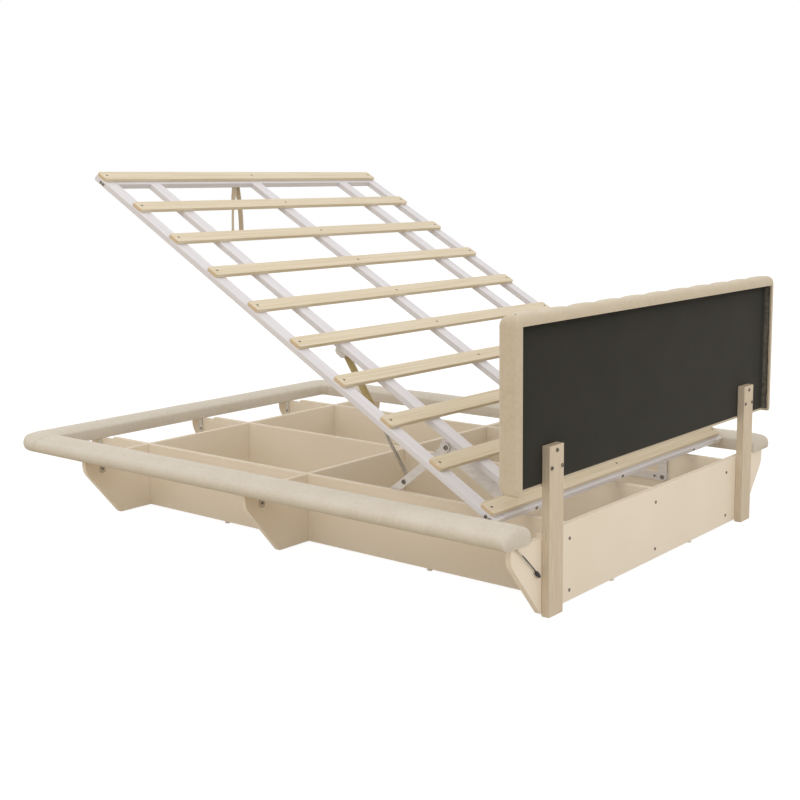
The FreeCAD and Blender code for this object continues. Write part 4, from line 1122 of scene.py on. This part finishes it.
def line_of(curve: bpy.types.Curve) -> list[Vector]:
    """The points that a smooth curve with no thickness passes through, in order.

    Args:
        curve: The curve, which is removed.

    Returns:
        Its points.
    """
    holder = put("route", curve)
    bpy.context.view_layer.update()
    line = bpy.data.meshes.new_from_object(holder.evaluated_get(bpy.context.evaluated_depsgraph_get()))
    points = [vertex.co.copy() for vertex in line.vertices]
    bpy.data.objects.remove(holder)
    bpy.data.meshes.remove(line)
    bpy.data.curves.remove(curve)
    return points


def circle(centre: Vector, way: Vector, radius: float, sides: int) -> list[Vector]:
    """Evenly spaced points round an axis."""
    side = way.orthogonal().normalized() * radius
    return [centre + Matrix.Rotation(2 * math.pi * i / sides, 3, way) @ side for i in range(sides)]


@dataclass
class PullStrap:
    """The webbing loop that hangs from the foot tube."""

    width: float = 25 * MM
    thickness: float = 2.2 * MM
    neck: float = 8 * MM
    leg: tuple[tuple[float, float], ...] = (
        (0.02, 8.5 * MM), (0.08, 9.5 * MM), (0.22, 14 * MM), (0.42, 18.5 * MM), (0.62, 20.5 * MM), (0.82, 21 * MM),
        (0.93, 20 * MM), (0.965, 13 * MM),
    )
    twist_from: float = 0.18
    twist_run: float = 0.2
    untwist: float = 0.2
    untwisted: float = 0.94
    edge_room: float = 0.3 * MM
    outline: tuple[tuple[float, float], ...] = (
        (-1, -0.4), (-0.94, -1), (0.94, -1), (1, -0.4), (1, 0.4), (0.94, 1), (-0.94, 1), (-1, 0.4),
    )
    leg_twists: tuple[float, float] = (0.0, math.radians(26))

    def route(self) -> list[Vector]:
        """The loop's middle line, down one leg and up the other, as a smooth curve's points."""
        low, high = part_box("pull_strap")
        x = (low.x + high.x) / 2
        y = (low.y + high.y) / 2
        top = high.z - self.thickness / 2
        drop = top - low.z - self.thickness / 2
        shares = ((0.0, 0.0), (0.0, self.neck)) + self.leg
        left = [Vector((x - out, y, top - drop * down)) for down, out in shares]
        right = [Vector((x + out, y, top - drop * down)) for down, out in reversed(shares)]
        return line_of(smooth_curve("strap_route", left + right, 4, 8))

    def build(self) -> None:
        """Builds the webbing along its route in place of the plain loop."""
        low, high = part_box("pull_strap")
        middle = (low + high) / 2
        points = self.route()
        skin = RingSkin()
        along = 0.0
        half = self.width / 2 - self.edge_room
        thin = self.thickness / 2
        for i, point in enumerate(points):
            before = points[max(0, i - 1)]
            after = points[min(len(points) - 1, i + 1)]
            tangent = (after - before).normalized()
            along += (point - before).length
            drop = (high.z - point.z) / (high.z - low.z)
            leg = self.leg_twists[1 if point.x > middle.x else 0]
            twist = leg * share_of(drop - self.twist_from, self.twist_run)
            twist *= share_of(self.untwisted - drop, self.untwist)
            broad = Matrix.Rotation(-twist, 3, "Z") @ Vector((0, 1, 0))
            face = tangent.cross(broad).normalized()
            broad = face.cross(tangent).normalized()
            skin.ring([point + broad * half * a + face * thin * b for a, b in self.outline], along)
        skin.cap()
        piece = place_piece("foot_pull_strap", skin.finish("foot_pull_strap"), WEBBING, 60.0)
        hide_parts("pull_strap")
        top = Vector((middle.x, middle.y, high.z))
        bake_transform(piece, "platform", "pull_strap", start=top, end=top - Vector((0, 0, 2 * self.neck)))
        log.info("%s: %.3f m of webbing", piece.name, along)


@dataclass
class PowerLead:
    """The short low-voltage lead out of the right rail, its pale sleeve and its plug."""

    radius: float = 1.75 * MM
    depth: float = 1.0648
    xs: tuple[float, ...] = (0.746, 0.7206, 0.6894, 0.668, 0.6576)
    zs: tuple[float, ...] = (0.2146, 0.1932, 0.1642, 0.1445, 0.1335)
    length: float = 0.12
    sleeve_length: float = 33 * MM
    sleeve_radius: float = 2.4 * MM
    sides: int = 20
    grip: tuple[tuple[float, float], ...] = (
        (0.0, 2.2), (1.0, 3.2), (4.0, 4.6), (5.2, 5.5), (6.6, 5.5), (7.0, 5.0), (7.8, 5.0), (8.2, 5.5), (9.6, 5.5),
        (10.0, 5.0), (10.8, 5.0), (11.2, 5.5), (17.3, 5.5), (18.0, 4.9),
    )
    barrel: tuple[tuple[float, float], ...] = ((18.0, 4.0), (18.3, 4.6), (24.3, 4.6), (25.0, 4.0))

    def route(self) -> bpy.types.Curve:
        """The lead's line as a smooth curve."""
        points = [Vector((x, self.depth, z)) for x, z in zip(self.xs, self.zs)]
        return smooth_curve("rail_power_lead", points, 3, 16)

    def turned(self, start: Vector, way: Vector, profile: Sequence[tuple[float, float]], name: str,
               finish: Finish) -> Piece:
        """Builds a round piece from its profile.

        Args:
            start: Where its axis begins.
            way: The axis.
            profile: Distances along it and radii, in millimetres.
            name: The piece's name.
            finish: What covers it.

        Returns:
            The piece.
        """
        skin = RingSkin()
        for distance, radius in profile:
            skin.ring(circle(start + way * distance * MM, way, radius * MM, self.sides), distance * MM)
        skin.cap()
        return place_piece(name, skin.finish(name), finish, 35.0)

    def build(self) -> None:
        """Builds the lead, its sleeve and its plug."""
        line = line_of(self.route())
        curve = self.route()
        curve.bevel_depth = self.radius
        curve.bevel_resolution = 6
        curve.use_fill_caps = True
        curve.materials.append(LEAD_SHEATH.material())
        lead = put("rail_power_lead", curve)
        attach(lead, "base")
        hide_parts("power_lead")
        skin = RingSkin()
        run = 0.0
        for one, two in zip(line, line[1:]):
            skin.ring(circle(one, (two - one).normalized(), self.sleeve_radius, self.sides), run)
            run += (two - one).length
            if run > self.sleeve_length:
                break
        skin.cap()
        sleeve = place_piece("lead_sleeve", skin.finish("lead_sleeve"), LEAD_SLEEVE)
        way = (line[-1] - line[-2]).normalized()
        plug = self.turned(line[-1], way, self.grip, "lead_plug", PLUG_PLASTIC)
        tip = self.turned(line[-1], way, self.barrel, "lead_plug_barrel", PLUG_TIP)
        for piece, slot in ((sleeve, Slot.LEAD), (plug, Slot.PLUG), (tip, Slot.PLUG)):
            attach(piece, "base")
        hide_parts("power_plug")
        log.info("%s: %.4f m", lead.name, self.length)


@dataclass
class Studio:
    """The camera, the lamps, the pale floor and the white surroundings."""

    place: tuple[float, float, float] = (3.316, 2.841, 1.151)
    azimuth: float = math.radians(127.85)
    elevation: float = math.radians(8.554)
    roll: float = math.radians(-0.339)
    image: float = 800.0
    focal: float = 1261.3
    axis_pixel: tuple[float, float] = (447.42, 369.34)
    sensor: float = 36.0
    floor_half: float = 12.0
    ambient: float = 0.9
    target: tuple[float, float, float] = (0.0, 0.1, 0.35)
    sky: str = "#fff9ef"
    bounce: str = "#c4b8a2"
    floor_drop: float = 0.4 * MM
    floor_shade: float = 0.2
    floor_glow: float = 0.92
    lamps: tuple[tuple[str, tuple[float, float, float], float, float, str], ...] = (
        ("overhead_softbox", (0.2, 0.6, 4.6), 4.5, 14.0, "#f0f5ff"),
        ("head_end_softbox", (1.2, 6.0, 2.8), 3.0, 46.0, "#eef3ff"),
        ("near_side_softbox", (4.2, 0.2, 4.2), 2.4, 36.0, "#fff8ee"),
    )

    def camera(self) -> None:
        """Sets the camera at the photograph's angle."""
        data = bpy.data.cameras.new("photo_camera")
        data.sensor_width = self.sensor
        data.lens = self.focal / self.image * self.sensor
        data.shift_x = 0.5 - self.axis_pixel[0] / self.image
        data.shift_y = self.axis_pixel[1] / self.image - 0.5
        camera = put("photo_camera", data)
        a, e, r = self.azimuth, self.elevation, self.roll
        back = Vector((math.sin(a) * math.cos(e), -math.cos(a) * math.cos(e), math.sin(e)))
        level = Vector((math.cos(a), math.sin(a), 0.0))
        rise = back.cross(level)
        right = level * math.cos(r) + rise * math.sin(r)
        up = rise * math.cos(r) - level * math.sin(r)
        turn = Matrix((right, up, back)).transposed().to_4x4()
        camera.matrix_world = Matrix.Translation(self.place) @ turn
        bpy.context.scene.camera = camera

    def lamp(self, name: str, place: tuple[float, float, float], size: float, watts: float, colour: str) -> None:
        """Hangs a square soft light aimed at the bed.

        Args:
            name: The lamp's name.
            place: Where it hangs.
            size: Its side.
            watts: Its power.
            colour: Its light, as sRGB hex.
        """
        data = bpy.data.lights.new(name, "AREA")
        data.color = linear(colour)[:3]
        data.size = size
        data.energy = watts
        way = Vector(self.target) - Vector(place)
        turn = way.to_track_quat("-Z", "Y").to_matrix().to_4x4()
        put(name, data).matrix_world = Matrix.Translation(place) @ turn

    def seen_share(self, tree: Tree) -> Socket:
        """One for rays from the camera or off gloss or glass, and nought for light on the bed."""
        path = add_node(tree, "LightPath")
        bright = add_node(tree, "Math", {0: path.outputs["Is Camera Ray"], 1: path.outputs["Is Glossy Ray"]})
        links = {0: bright.outputs[0], 1: path.outputs["Is Transmission Ray"]}
        return add_node(tree, "Math", links, use_clamp=True).outputs[0]

    def surroundings(self) -> None:
        """A white world that lights the bed less than it shows."""
        world = bpy.data.worlds.new("white_studio")
        world.use_nodes = True
        tree = world.node_tree
        tree.nodes.clear()
        light = add_node(tree, "Background", Color=linear(self.sky), Strength=self.ambient)
        white = add_node(tree, "Background", Color=WHITE, Strength=1.0)
        links = {0: self.seen_share(tree), 1: light.outputs[0], 2: white.outputs[0]}
        mixed = add_node(tree, "MixShader", links)
        add_node(tree, "OutputWorld", {"Surface": mixed.outputs[0]})
        bpy.context.scene.world = world

    def floor(self) -> None:
        """A plain white floor that keeps a faint shadow."""
        mesh = bmesh.new()
        bmesh.ops.create_grid(mesh, x_segments=1, y_segments=1, size=self.floor_half)
        bmesh.ops.translate(mesh, verts=mesh.verts, vec=(0.0, 0.0, -self.floor_drop))
        data = meshed(mesh, "studio_floor")
        made = bpy.data.materials.new("white_studio_floor")
        made.use_nodes = True
        tree = made.node_tree
        tree.nodes.clear()
        bounce = add_node(tree, "BsdfDiffuse", Color=linear(self.bounce))
        faint = add_node(tree, "BsdfDiffuse", Color=(*[self.floor_shade] * 3, 1.0))
        glow = add_node(tree, "Emission", Color=WHITE, Strength=self.floor_glow)
        shown = add_node(tree, "AddShader", {0: faint.outputs[0], 1: glow.outputs[0]})
        links = {0: self.seen_share(tree), 1: bounce.outputs[0], 2: shown.outputs[0]}
        mixed = add_node(tree, "MixShader", links)
        add_node(tree, "OutputMaterial", {"Surface": mixed.outputs[0]})
        data.materials.append(made)
        put("studio_floor", data)

    def build(self) -> None:
        """Sets up the whole studio."""
        self.camera()
        self.surroundings()
        self.floor()
        for lamp in self.lamps:
            self.lamp(*lamp)


def finish_frame() -> None:
    """Gives every carried-over solid its finish."""
    for part in frame["record"]["subparts"]:
        node = frame["nodes"][part["node"]]
        finish = NODE_FINISHES.get(part["node"], SLOT_FINISHES[Slot(part["material_slot"])])
        node.data.materials.clear()
        node.data.materials.append(finish.material())


def main() -> None:
    """Builds the studio and the bed's soft pieces and finishes every solid."""
    logging.basicConfig(level=logging.INFO, format="%(name)s: %(message)s")
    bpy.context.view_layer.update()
    bpy.context.scene.view_settings.view_transform = "Standard"
    Studio().build()
    PowerLead().build()
    Rails().build()
    Headboard().build()
    PullStrap().build()
    finish_frame()


if __name__ == "__main__":
    main()
